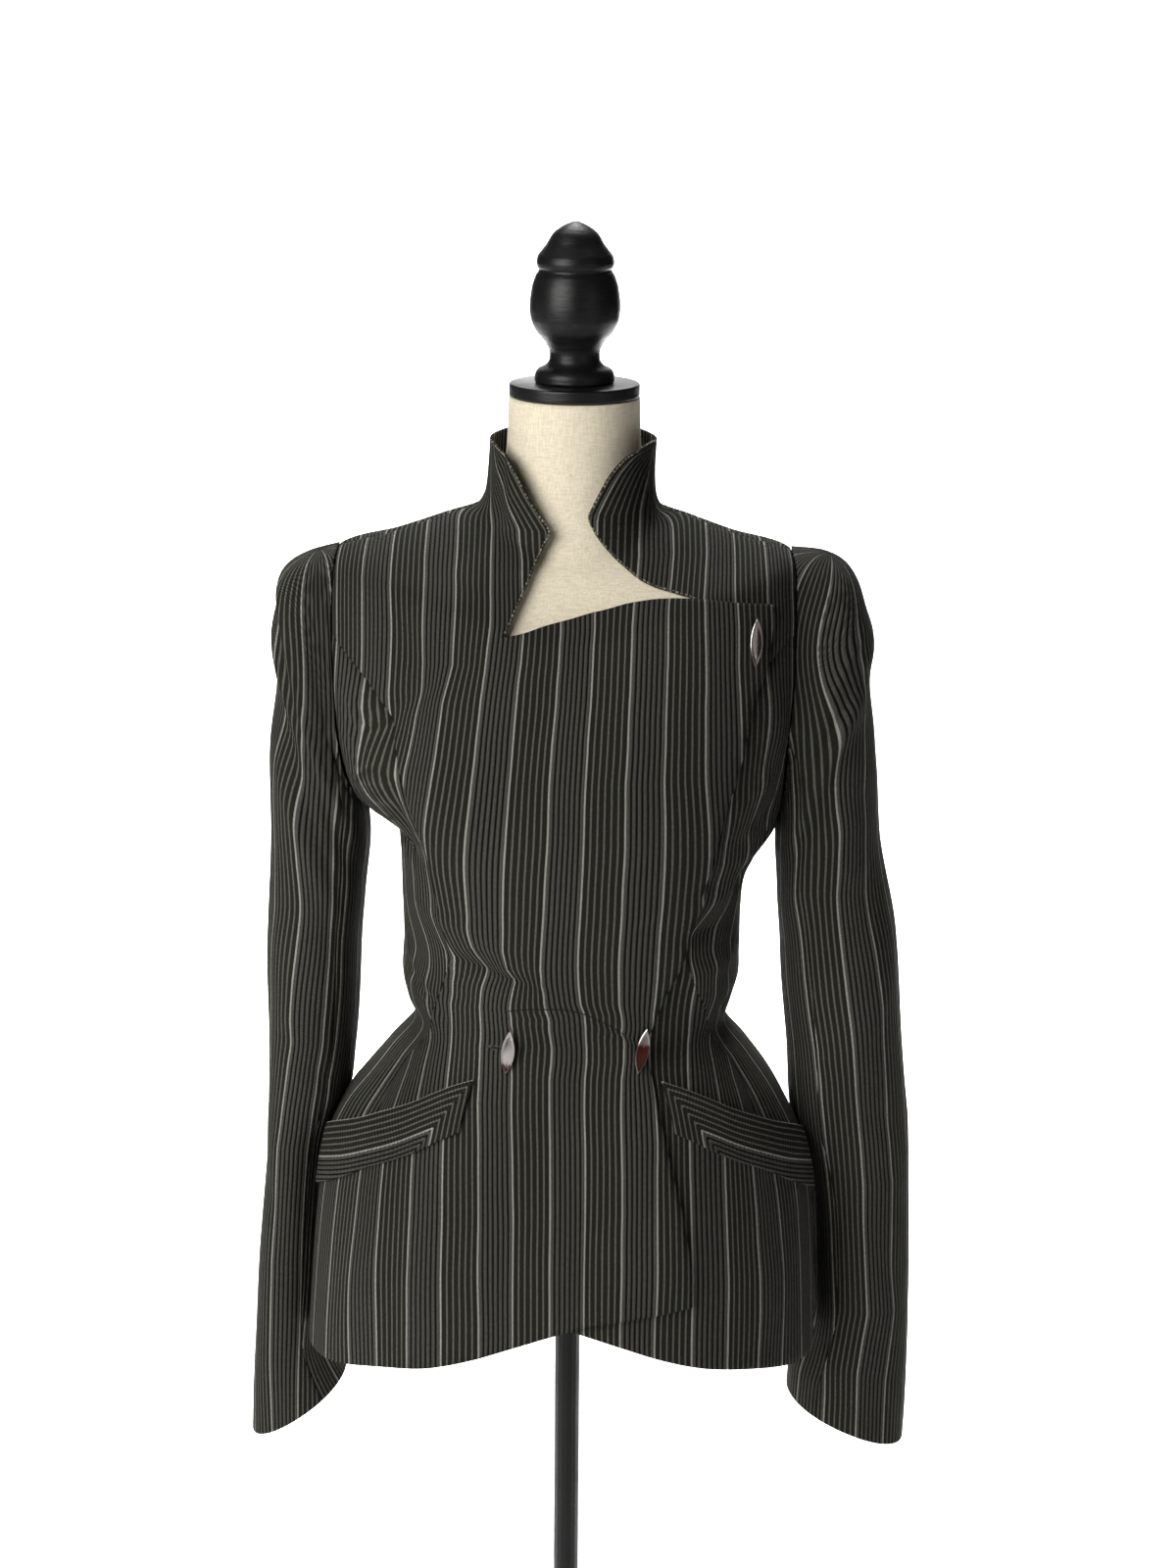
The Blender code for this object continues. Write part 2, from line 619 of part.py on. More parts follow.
def side_seams(side):
    """The side seam in two stretches, below and above the pocket, from the hem to the armhole."""
    split = cut_level(90)
    upper = like(princess(side)[:, 1], split, ARMHOLE_LEVELS[side][0])
    lower = np.linspace(HEM[0][1], split, SKIRT_ROWS + 1)
    return tuple(np.stack([np.full(len(levels), 90.0), levels], -1) for levels in (lower, upper))


def front_lift(side):
    """The overlapping front lies further out past the princess seam; the underlap does not."""
    if side == "left":
        return None
    return lambda angle, places: lap(angle)


def fronts():
    """Each front, with its cut-in-one collar, and the side front between it and the side seam."""
    for side in ("right", "left"):
        lines = FRONTS[side]
        skirt_side, body_side = side_seams(side)
        seam = princess(side)
        bottom, top = ARMHOLE_LEVELS[side]
        princess_angle = PRINCESS_LOW[-1][0]
        cut_back = pocket_cut(princess_angle, 90, SIDE_COLUMNS)
        cut_front = pocket_cut(POCKET_START, princess_angle, POCKET_COLUMNS)
        cut = joined(cut_front, cut_back)
        pocket_point = cut[0]
        notch = np.array(lines["neck"][-1], float)
        edge_low = np.linspace(lines["edge"][0][1], POCKET_ROW, SKIRT_ROWS + 1)
        edge_high = like(seam[:, 1], POCKET_ROW, lines["edge"][-1][1])
        free = rising(lines["edge"], np.concatenate([edge_low, edge_high[1:]]))
        hem_back = hem_line(POCKET_START, 90, POCKET_COLUMNS + SIDE_COLUMNS)
        hem_front = hem_line(lines["edge"][0][0], POCKET_START, FRONT_COLUMNS)
        under_pocket = evenly((hem_back[0], pocket_point), SKIRT_ROWS)
        column = rising((tuple(pocket_point),) + lines["column"][1:],
                        like(seam[:, 1], pocket_point[1], notch[1]))
        waist_row = evenly((free[SKIRT_ROWS], pocket_point), FRONT_COLUMNS)
        notch_row = evenly((notch, seam[-1]), POCKET_COLUMNS)
        arm = armhole_line(side, lines["princess_top"], top, False, ARM_ROWS)
        shoulder = evenly(((90, top), (90, COLLAR_SEAM)), SHOULDER_ROWS)
        collar_side = evenly(((90, COLLAR_SEAM), (90, COLLAR_TOP)), COLLAR_ROWS)
        upper = joined(arm, shoulder, collar_side)
        neck = evenly(lines["neck"][::-1], len(upper) - 1)
        collar = evenly((((90, COLLAR_TOP),) + lines["collar"])[::-1], POCKET_COLUMNS)
        crossing = evenly(lines["top"][::-1], FRONT_COLUMNS)
        grids = (
            patch(hem_back, cut, under_pocket, skirt_side),
            patch(hem_front, waist_row, free[:SKIRT_ROWS + 1], under_pocket),
            patch(cut_front, notch_row, column, seam),
            patch(waist_row, crossing, free[SKIRT_ROWS:], column),
            patch(notch_row, collar, neck, upper),
        )
        panel("front_" + side, side, grids, front_lift(side))
        armhole = armhole_line(side, bottom, lines["princess_top"], False, SIDE_COLUMNS)
        side_grid = patch(cut_back, armhole[::-1], seam, body_side)
        panel("side_front_" + side, side, (side_grid,), front_lift(side))


def backs():
    """Back and side back of each side, and the strip of collar round the neck."""
    for side in ("right", "left"):
        bottom, top = ARMHOLE_LEVELS[side]
        side_seam = joined(*side_seams(side))
        rows = side_seam[:, 1]
        seam_top = (float(armhole_angle(side, BACK_SEAM_TOP, True)), BACK_SEAM_TOP)
        seam = rising(BACK_SEAM + (seam_top,), like(rows, BACK_SEAM[0][1], BACK_SEAM_TOP))
        hem_side = evenly(((90, HEM[0][1]), BACK_SEAM[0]), SIDE_BACK_COLUMNS)
        hem_back = evenly((BACK_SEAM[0], (180, BACK_HEM)), BACK_COLUMNS)
        armhole = armhole_line(side, bottom, BACK_SEAM_TOP, True, SIDE_BACK_COLUMNS)
        panel("side_back_" + side, side, (patch(hem_side, armhole, side_seam, seam),))
        centre_low = rising(((180, BACK_HEM), (180, YOKE)), like(rows, BACK_HEM, YOKE))
        yoke = evenly((seam_top, (180, YOKE)), BACK_COLUMNS)
        arm = armhole_line(side, BACK_SEAM_TOP, top, True, ARM_ROWS)
        shoulder = evenly(((90, top), (90, COLLAR_SEAM)), SHOULDER_ROWS)
        centre_high = evenly(((180, YOKE), (180, COLLAR_SEAM)), ARM_ROWS + SHOULDER_ROWS)
        neck = evenly(((90, COLLAR_SEAM), (180, COLLAR_SEAM)), BACK_COLUMNS)
        grids = (patch(hem_back, yoke, seam, centre_low),
                 patch(yoke, neck, joined(arm, shoulder), centre_high))
        panel("back_" + side, side, grids)
    collar_edge = evenly(((90, COLLAR_SEAM), (90, COLLAR_TOP)), COLLAR_ROWS)
    half_turn = np.array([180.0, 0.0])
    low = evenly(((90, COLLAR_SEAM), (270, COLLAR_SEAM)), 2 * BACK_COLUMNS)
    high = evenly(((90, COLLAR_TOP), (270, COLLAR_TOP)), 2 * BACK_COLUMNS)
    panel("collar_back", "left", (patch(low, high, collar_edge, collar_edge + half_turn),))


def welts():
    """A broad slanted welt over each pocket cut, its upper edge standing away from the cloth."""
    pocket = named_columns(POCKET)
    for side in ("right", "left"):
        ends = pocket["angle"][0], pocket["angle"][-1]
        t = np.linspace(0, 1, WELT_COLUMNS + 1)[None, :]
        up = np.linspace(0, 1, WELT_ROWS + 1)[:, None]
        angle = ends[0] + (ends[1] - ends[0]) * t + WELT_SLANT * (1 - up) * (1 - t)
        level = (curve(pocket["angle"], pocket["bottom"])(angle) * (1 - up)
                 + curve(pocket["angle"], pocket["top"])(angle) * up)
        grid = np.stack([angle, level], -1)

        def lift(signed_angle, places):
            share = (places[:, 0] - ends[0]) / (ends[1] - ends[0])
            low = curve(pocket["angle"], pocket["bottom"])(places[:, 0])
            high = curve(pocket["angle"], pocket["top"])(places[:, 0])
            rise = (places[:, 1] - low) / (high - low)
            gape = WELT_GAPE * np.clip(rise, 0, 1) * np.sin(pi * np.clip(share, 0, 1))
            return CLOTH + WELT_GAP + gape + (lap(signed_angle) if side == "right" else 0)

        panel("pocket_welt_" + side, side, (grid,), lift, WELT, (0.060, 0.058, 0.048))


def sleeve_wave(ring, share):
    """Soft waves of the sleeve, in millimetres: ridges and hollows across its length."""
    waves = named_columns(SLEEVE_WAVES)
    out = np.zeros(np.broadcast(ring, share).shape)
    for height, place, length, turn, reach in zip(*waves.values()):
        away = (share - turn + 0.5) % 1 - 0.5
        out = out + height * np.exp(-((ring - place) / length) ** 2 - (away / reach) ** 2)
    return out


def body_reach(side, y, z):
    """How far out the cloth of the body comes at this depth and height, up to the armhole seam."""
    front = y < 0
    depth = np.where(front, section["front"](z), section["back"](z))
    power = section["squareness"](z)
    inside = np.clip(1 - np.abs(y / depth) ** power, 0, 1) ** (1 / power)
    wide = section[side](z) + underarm(sign(side) * np.full(np.shape(z), 90.0), z)
    seam = armhole_x(side, z)
    return np.minimum(wide * inside, seam)


def sleeve_surface(side, ring, share):
    """Point of a sleeve. Share goes once round from the top or outer end by the front."""
    table = named_columns(SLEEVES[side])
    number = np.arange(len(table["inner"]))
    at = {name: curve(number, values)(ring) for name, values in table.items()}
    bottom, top = ARMHOLE_LEVELS[side]
    front = armhole_line(side, bottom, top, False, 60)[::-1]
    back = armhole_line(side, bottom, top, True, 60)
    hole = joined(front, back)
    loop = body(sign(side) * hole[:, 0], hole[:, 1]) / MM
    run = np.concatenate([[0], np.cumsum(np.linalg.norm(np.diff(loop, axis=0), axis=1))])
    run = run / run[-1]
    height = loop[:, 2]
    loop_up = np.interp(share, run, (height - height.min()) / (height.max() - height.min()))
    loop_y = np.interp(share, run, loop[:, 1])
    turn = 2 * pi * share
    power = 2 / SLEEVE_SQUARENESS
    oval_up = 0.5 + 0.5 * np.sign(np.cos(turn)) * np.abs(np.cos(turn)) ** power
    oval_y = -at["depth"] * np.sign(np.sin(turn)) * np.abs(np.sin(turn)) ** power + at["middle"]
    own = ease(ring, 0, HEAD_RINGS)
    up = loop_up * (1 - own) + oval_up * own
    y = loop_y * (1 - own) + oval_y * own
    x = at["inner"] + (at["outer"] - at["inner"]) * up
    z = at["inner_z"] + (at["outer_z"] - at["inner_z"]) * up
    lean = np.abs(outward(sign(side) * hole[:, 0], hole[:, 1])[:, 0])
    lean = np.interp(share, run, lean)
    below = ease(1 - up, 0.5, 0.9)
    gap = (SEAM_GAP + CLOTH * lean * (1 + below) + ARMPIT_GAP * below) / MM
    first_z = table["inner_z"][0] + (table["outer_z"][0] - table["inner_z"][0]) * loop_up
    first_x = table["inner"][0] + (table["outer"][0] - table["inner"][0]) * loop_up
    x = x + (armhole_x(side, first_z) + gap - first_x) * (1 - own)
    x = np.maximum(x, body_reach(side, y, z) + gap + CLEAR_OF_HIP * ease(-z, -1180, -1150))
    return np.stack([sign(side) * x, y, z], -1) * MM


def sleeves():
    """Upper and under sleeve of each side, walls through the rings of the sleeve's table."""
    for side in ("right", "left"):
        last = len(SLEEVES[side]["rows"]) - 1
        ring = np.concatenate([np.linspace(0, HEAD_RINGS, HEAD_ROWS + 1)[:-1],
                               np.linspace(HEAD_RINGS, last, ARM_LENGTH_ROWS + 1)])
        for name, start, end in (("upper", UNDER_SLEEVE[1] - 1, UNDER_SLEEVE[0]),
                                 ("under", *UNDER_SLEEVE)):
            count = round(SLEEVE_COLUMNS * (end - start))
            share = np.linspace(start + SLEEVE_SEAM, end - SLEEVE_SEAM, count + 1)
            grid_ring, grid_share = np.meshgrid(ring, share, indexing="ij")

            def surface(r, s):
                return sleeve_surface(side, np.clip(r, 0, last), s % 1)

            small = 0.01
            down = surface(grid_ring + small, grid_share) - surface(grid_ring - small, grid_share)
            turn = surface(grid_ring, grid_share + small) - surface(grid_ring, grid_share - small)
            normal = np.cross(down, turn) * sign(side)
            normal = normal / np.linalg.norm(normal, axis=-1, keepdims=True)
            wave = sleeve_wave(grid_ring, grid_share % 1)[..., None] * MM
            points = surface(grid_ring, grid_share) + normal * wave
            columns = len(share)
            quads = [(r * columns + c, r * columns + c + 1, (r + 1) * columns + c + 1,
                      (r + 1) * columns + c)
                     for r in range(len(ring) - 1) for c in range(columns - 1)]
            wall(name + "_sleeve_" + side, points.reshape(-1, 3), normal.reshape(-1, 3), quads,
                 CLOTH, (0.045, 0.047, 0.040))


def buttons():
    """Pointed-oval metal buttons, each on a shank that ends on the overlapping front."""
    around = 12
    turn = np.linspace(0, 2 * pi, around, endpoint=False)
    leaf = np.stack([np.cos(turn) * np.abs(np.cos(turn)) ** BUTTON_POINT * BUTTON_WIDTH / 2,
                     np.sin(turn) * BUTTON_LENGTH / 2], -1)
    ring = np.stack([np.cos(turn), np.sin(turn)], -1) * SHANK["radius"]
    for name, angle, level, lean, seat_height in BUTTONS["rows"]:
        normal = outward(np.array(float(angle)), np.array(float(level)))
        seat = body(angle, level) + normal * (LAP_LIFT + CLOTH + seat_height * MM)
        up = np.array([0, 0, 1]) - normal * normal[2]
        up = up / np.linalg.norm(up)
        aside = np.cross(up, normal)
        length_way = up * cos(radians(lean)) + aside * sin(radians(lean))
        width_way = np.cross(length_way, normal)

        def placed(outline, out):
            return (seat + normal * out + outline[:, :1] * width_way
                    + outline[:, 1:] * length_way)

        rings = [placed(ring, 0), placed(ring, SHANK["height"] - SHANK["step"])]
        rings += [placed(leaf * share, SHANK["height"] + height * MM)
                  for share, height in BUTTON_RINGS]
        loft(name, rings, (0.62, 0.60, 0.58), 0.18, 1.0)


# Dress form

def turned(name, profile, colour, roughness, around=20):
    """A turned piece from its radii and heights in millimetres, lowest first."""
    turn = np.linspace(0, 2 * pi, around, endpoint=False)
    rings = [np.stack([np.cos(turn) * radius, np.sin(turn) * radius, np.full(around, height)], -1)
             for radius, height in profile]
    return loft(name, [ring * MM for ring in rings], colour, roughness)


def form():
    """Torso, neck disc, turned finial, pole and round base."""
    around = 30
    angle = np.linspace(0, 360, around, endpoint=False)
    levels, gaps = zip(*FORM_GAP)
    gap = curve(levels, gaps)
    rings = []
    for level in FORM_LEVELS:
        ring = body(angle, float(level), False)
        ring = ring - outward(angle, np.full(around, float(level)), False) * gap(level) * MM
        if level == FORM_BOTTOM:
            ring[:, 2] = level * MM
        ring[:, 0] = np.clip(ring[:, 0], -ARM_PLATE["right"], ARM_PLATE["left"])
        rings.append(ring)
    turn = np.radians(angle)
    for height, radius, dip in NECK:
        front = np.maximum(np.cos(turn), 0) ** 2
        rings.append(np.stack([radius * np.sin(turn), -radius * np.cos(turn),
                               height - dip * front], -1) * MM)
    loft("form_torso", rings, (0.78, 0.74, 0.62), 0.9)
    turned("form_neck_disc", DISC, (0.012, 0.012, 0.012), 0.35)
    turned("form_finial", FINIAL, (0.012, 0.012, 0.012), 0.35)
    pole = ((POLE_RADIUS / MM, BASE[-1][1] + SEAT / MM),
            (POLE_RADIUS / MM, FORM_BOTTOM - SEAT / MM))
    turned("form_pole", pole, (0.015, 0.015, 0.015), 0.4, 16)
    turned("form_base", BASE, (0.015, 0.015, 0.015), 0.5, 24)


for old in list(bpy.data.objects):
    bpy.data.objects.remove(old, do_unlink=True)
jacket = bpy.data.objects.new("jacket", None)
stand = bpy.data.objects.new("dress_form", None)
bpy.context.collection.objects.link(jacket)
bpy.context.collection.objects.link(stand)
fronts()
backs()
welts()
sleeves()
buttons()
form()
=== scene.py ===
"""Looks of the striped blazer on its dress form: cloth, sewing, metal, linen, painted wood.

Each cloth piece is a thin closed wall on the form of its solid. A point of the jacket's surface is
given by an angle round the body (degrees, 0 at the centre front, positive towards the wearer's
left, +X) and a level (the height at the side seam, going on over the shoulder to the collar's top).
"""
import bpy
import numpy as np
from math import cos, pi, radians, sin
from mathutils import Matrix, Vector


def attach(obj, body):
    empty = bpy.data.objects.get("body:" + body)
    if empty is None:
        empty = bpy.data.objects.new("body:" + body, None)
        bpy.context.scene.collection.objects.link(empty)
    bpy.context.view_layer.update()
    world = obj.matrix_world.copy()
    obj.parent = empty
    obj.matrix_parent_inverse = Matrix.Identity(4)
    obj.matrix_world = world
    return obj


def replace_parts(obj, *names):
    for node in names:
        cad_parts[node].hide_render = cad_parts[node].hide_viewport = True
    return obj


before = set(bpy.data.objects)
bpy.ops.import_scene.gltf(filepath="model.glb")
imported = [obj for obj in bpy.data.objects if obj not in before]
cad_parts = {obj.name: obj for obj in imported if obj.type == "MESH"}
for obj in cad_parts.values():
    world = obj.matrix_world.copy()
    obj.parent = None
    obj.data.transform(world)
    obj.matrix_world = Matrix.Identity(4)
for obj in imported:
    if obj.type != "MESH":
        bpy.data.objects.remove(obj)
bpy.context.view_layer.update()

# Driving sizes
CLOTH = 0.0016          # thickness of the jacket's cloth
SEAM_GAP = 0.0005       # clear space between two sewn pieces
LAP_LIFT = 0.0040       # the overlapping front lies this much further out than the underlap
WELT = 0.0024           # thickness of a pocket welt, cloth folded double
MM = 0.001
TURN_LENGTH = 1.9       # millimetres that a degree round the body counts for along a line
LINE_STEPS = 401        # points that a line is worked out at before it is cut into stretches
HALVINGS = 40           # times that a search halves its range
LAP_EASE = (-54.0, -40.0)   # angles between which the overlapping front rises to its lift
EDGE_STEPS = 60         # points that the hem, a pocket cut and the armhole are worked out at
ARM_STEPS = 121         # levels at which the armhole seam is searched for
AT_END = 0.01           # millimetres within which a level is the end of the armhole

# The body surface, a row for each level: where the side is, how wide to each side of the centre,
# how deep to the front and the back, how far the front and back dip below the side, and how
# square the section is (2 is an ellipse)
SECTIONS = dict(
    columns="level side_z right left front back front_dip back_dip squareness",
    rows=(
        (745, 745, 195.0, 185.0, 138, 150, 0, 0, 2.10),
        (820, 820, 191.0, 183.0, 131, 143, 0, 0, 2.10),
        (900, 900, 184.0, 179.0, 122, 131, 0, 0, 2.10),
        (940, 940, 177.0, 171.0, 116, 121, 0, 0, 2.10),
        (971, 971, 163.0, 157.0, 110, 109, 0, 0, 2.10),
        (989, 989, 149.0, 147.0, 106, 100, 0, 0, 2.10),
        (1011, 1011, 131.0, 131.0, 100, 89, 0, 0, 2.10),
        (1036, 1036, 112.0, 113.0, 95, 80, 0, 0, 2.10),
        (1052, 1052, 117.5, 117.0, 98, 80, 0, 0, 2.15),
        (1072, 1072, 121.0, 122.0, 102, 83, 0, 0, 2.20),
        (1102, 1102, 120.0, 122.0, 108, 87, 0, 0, 2.25),
        (1134, 1134, 121.0, 123.0, 115, 92, 0, 0, 2.30),
        (1158, 1158, 121.5, 129.0, 120, 96, 0, 0, 2.30),
        (1174, 1174, 122.5, 134.0, 123, 98, 0, 0, 2.35),
        (1188, 1188, 127.5, 138.0, 124, 100, 0, 0, 2.35),
        (1202, 1202, 140.0, 142.0, 125, 101, 0, 0, 2.40),
        (1220, 1220, 156.0, 147.0, 124, 103, 2, 0, 2.45),
        (1260, 1260, 173.0, 158.0, 118, 105, 8, 2, 2.50),
        (1300, 1300, 178.0, 165.0, 111, 105, 14, 6, 2.50),
        (1340, 1340, 177.0, 166.0, 104, 102, 30, 14, 2.50),
        (1377, 1377, 168.0, 155.5, 96, 95, 48, 22, 2.50),
        (1410, 1389, 129.0, 118.0, 87, 84, 40, 17, 2.40),
        (1440, 1401, 95.0, 86.0, 78, 73, 34, 11, 2.20),
        (1465, 1412, 66.0, 60.0, 69, 63, 28, 6, 2.05),
        (1482, 1424, 60.5, 56.5, 64.5, 60, 24, 2, 2.00),
        (1500, 1438, 59.0, 56.0, 62.5, 58.5, 18, 0, 2.00),
        (1530, 1462, 57.5, 57.0, 61.0, 57.5, 10, -4, 2.00),
    ),
)

# Folds and fullness of the cloth: height out of the surface (negative is a hollow), angle and level
# of the middle, half-length along the fold, half-width across it, and how its length leans from
# level in degrees
FOLDS = (
    (6, -34, 1195, 42, 42, 0),
    (6, 34, 1195, 42, 42, 0),
    (3, -3, 1064, 42, 9, -6),
    (-2, -3, 1040, 42, 12, -4),
    (3, -54, 1088, 42, 19, 38),
    (3, 54, 1088, 42, 19, -38),
    (4, -128, 1080, 48, 12, -25),
    (4, 128, 1080, 48, 12, 25),
    (4, 165, 1062, 60, 11, 8),
    (-4, -165, 1120, 50, 26, 70),
    (3, -62, 845, 50, 20, 82),
    (3, 62, 845, 50, 20, 82),
    (5, -150, 850, 60, 24, 86),
    (5, 150, 850, 60, 24, 86),
    (-4, 180, 850, 60, 22, 90),
    (3, -66, 1268, 36, 15, 62),
    (3, 66, 1262, 36, 15, -62),
)

# The cloth under each arm swells out over the waist: how far, where the swell starts and is full
# going up, and where it has gone again
UNDERARM = dict(
    right=dict(out=16, start=1177, full=1193, fades=1198, gone=1250),
    left=dict(out=12, start=1146, full=1182, fades=1205, gone=1250),
)
UNDERARM_SPREAD = 21.0   # degrees round from the side

# How far out from the centre the armhole seam runs, by height
ARMHOLE = dict(
    right=((1180, 143.0), (1195, 147.5), (1210, 152.5), (1235, 159.0), (1270, 164.0),
           (1330, 167.0), (1365, 166.2), (1395, 164.5)),
    left=((1165, 146.0), (1195, 148.0), (1215, 149.5), (1253, 150.5), (1295, 154.5),
          (1332, 155.0), (1365, 155.0), (1395, 151.5)),
)

# Lines that both fronts share. Angles here count from the centre front towards the wearer's own
# side of that front, so a line that crosses the centre goes negative
HEM = ((90, 778), (74, 781), (56, 792.5), (40, 802.5), (29, 812), (17.5, 823), (5.5, 833),
       (-5, 840), (-17, 844), (-37.8, 850.5))
BACK_HEM = 772
POCKET = dict(
    columns="angle top bottom",
    rows=((36.3, 1012, 977), (43, 1005, 968.5), (50, 996, 957), (57, 985.5, 947),
          (64, 976, 937), (71, 966.5, 924), (79, 957, 912), (89, 945, 898)),
)
POCKET_CUT = 10          # the cloth is cut this far above the welt's lower edge, behind the welt
WELT_SLANT = 1.4         # degrees that the lower corner of a welt's front end lies further back
WELT_GAP = 0.0008        # clear space between a welt and the front
WELT_GAPE = 0.0042       # how far the middle of a welt's upper edge stands away besides
WELT_COLUMNS = 72
WELT_ROWS = 24
POCKET_START = 39.5      # angle of the pocket's front end
POCKET_ROW = 990         # level at the free edge of the row that goes to the pocket's front end
PRINCESS_LOW = ((52.8, 1269.5), (48.5, 1228), (46.8, 1205), (46.8, 1180), (46.6, 1155),
                (43.8, 1125), (43.5, 1104), (49, 1078.5), (58.5, 1053.5), (66, 1030),
                (68.5, 1005), (67, 975))
FRONTS = dict(
    right=dict(
        princess=((67.8, 1319.5), (61, 1306), (56.8, 1293.5)),
        princess_top=1329.5,
        collar=((75.8, 1524), (67.8, 1527), (60, 1525.5), (47.8, 1524), (41.5, 1520.5),
                (34.2, 1512.5), (26.8, 1502), (20.5, 1494.5), (12.8, 1484)),
        neck=((12.8, 1484), (16.8, 1470.5), (19.8, 1453.5), (21.5, 1433.5), (23.5, 1407.5),
              (25.8, 1372)),
        top=((25.8, 1372), (20.8, 1380.5), (11.8, 1396), (0.8, 1406), (-10.5, 1411.5),
             (-21.5, 1412), (-31.3, 1407.5), (-39.5, 1398.5), (-45.5, 1388.5),
             (-55, 1370.5), (-64.2, 1359.5)),
        edge=((-37.8, 850.5), (-38, 870), (-37, 911), (-34.8, 950), (-33.3, 990),
              (-32.6, 1020), (-32, 1045), (-33.5, 1060), (-36.5, 1080), (-40.3, 1100),
              (-43, 1130), (-43.4, 1170), (-44.8, 1212), (-49.4, 1240), (-53, 1274),
              (-55.2, 1296), (-60, 1318), (-61.8, 1341), (-64.2, 1359.5)),
        column=((39.5, 986), (38.5, 1040), (36, 1110), (37, 1190), (36, 1260), (32, 1320),
                (25.8, 1372)),
    ),
    left=dict(
        princess=((66.8, 1328), (59.5, 1315.5), (55.8, 1298)),
        princess_top=1333,
        collar=((79, 1526), (67, 1529), (51.8, 1529.5), (40.2, 1529), (31.8, 1525.5),
                (24, 1519), (18, 1510.5), (13.2, 1502.5), (8.8, 1494)),
        neck=((8.8, 1494), (13, 1483.5), (17.2, 1475.5), (21.8, 1466.5), (26.8, 1452.5),
              (31.8, 1433.5), (36.5, 1418.5), (41, 1406.5), (45.8, 1389.5), (47.5, 1374)),
        top=((47.5, 1374), (40, 1381), (32, 1388), (20, 1392), (0, 1386), (-12, 1376),
             (-30, 1350)),
        edge=((-37.8, 850.5), (-35, 930), (-33, 990), (-31, 1045), (-33, 1110),
              (-34, 1190), (-32, 1270), (-30, 1350)),
        column=((39.5, 986), (38, 1040), (37, 1110), (39, 1190), (43, 1260), (47, 1320),
                (47.5, 1374)),
    ),
)
COLLAR_SEAM = 1465       # level of the neck seam round the back
COLLAR_TOP = 1527
BACK_SEAM = ((142, 772), (145, 900), (150, 1036), (147, 1120), (138, 1210), (124, 1270))
BACK_SEAM_TOP = 1300
YOKE = 1335              # level of the row that crosses the back there

# A sleeve, a row for each ring: the two ends of the flattened ring as x out from the centre and z,
# half its depth from front to back, and where its middle lies in y
SLEEVES = dict(
    right=(
        (150.0, 1196, 167.5, 1379.5, 70, 0),
        (149.0, 1190, 187.0, 1374, 68, 1),
        (146.5, 1184, 199.0, 1366, 66, 1),
        (146.0, 1177, 207.0, 1352, 64, 2),
        (146.5, 1168, 210.0, 1330, 62, 3),
        (148.4, 1149, 211.3, 1297, 60, 5),
        (151.6, 1124, 213.0, 1247, 58, 7),
        (153.7, 1098, 216.0, 1180, 56, 9),
        (156.5, 1055, 220.0, 1110, 54, 13),
        (160.6, 1004, 225.0, 1032, 52, 22),
        (166.5, 970, 228.9, 969, 51, 30),
        (181.0, 935, 231.0, 924, 50, 37),
        (186.5, 895, 233.0, 882, 50, 44),
        (190.0, 835, 236.5, 825, 49, 50),
        (193.0, 780, 239.0, 762, 48, 50),
        (191.0, 762, 240.3, 735, 48, 50),
        (183.5, 745, 241.6, 708, 48, 50),
        (172.5, 726, 242.7, 678, 48, 50),
    ),
    left=(
        (152.0, 1190, 157.0, 1379.5, 70, 0),
        (151.0, 1185, 176.0, 1378, 68, 1),
        (149.5, 1179, 192.0, 1372, 66, 1),
        (149.6, 1170, 203.0, 1357, 64, 2),
        (150.0, 1160, 209.0, 1332, 62, 3),
        (150.8, 1147, 213.3, 1298, 60, 4),
        (152.4, 1123, 214.2, 1240, 58, 5),
        (154.0, 1100, 222.5, 1178, 57, 7),
        (156.5, 1068, 241.5, 1098, 56, 10),
        (162.3, 1010, 249.5, 1022, 55, 20),
        (166.6, 955, 254.0, 945, 53, 33),
        (180.0, 910, 256.0, 898, 52, 42),
        (188.0, 860, 258.2, 850, 51, 48),
        (190.0, 800, 260.0, 790, 50, 50),
        (186.0, 778, 260.3, 752, 49, 50),
        (179.0, 757, 260.2, 725, 49, 50),
        (173.0, 738, 259.8, 698, 49, 50),
        (171.3, 714, 259.0, 676, 49, 50),
    ),
)
SLEEVE_COLUMNS = "inner inner_z outer outer_z depth middle"
SLEEVE_SQUARENESS = 2.2
ARMPIT_GAP = 0.0006      # further clear space under the arm, where cloth bends sharply
UNDERARM_SHARE = (0.5, 0.9)   # share down the ring, between which a sleeve is under the arm
CLEAR_OF_HIP = 3.6       # millimetres between the hanging sleeve and the cloth of the body
HIP_HEIGHT = (1180, 1150)     # heights between which that distance sets in
HEAD_RINGS = 6.0         # the armhole's own outline turns into a plain oval over this many rings
UNDER_SLEEVE = (0.34, 0.64)   # the under sleeve's share of the way round, from the top, front first
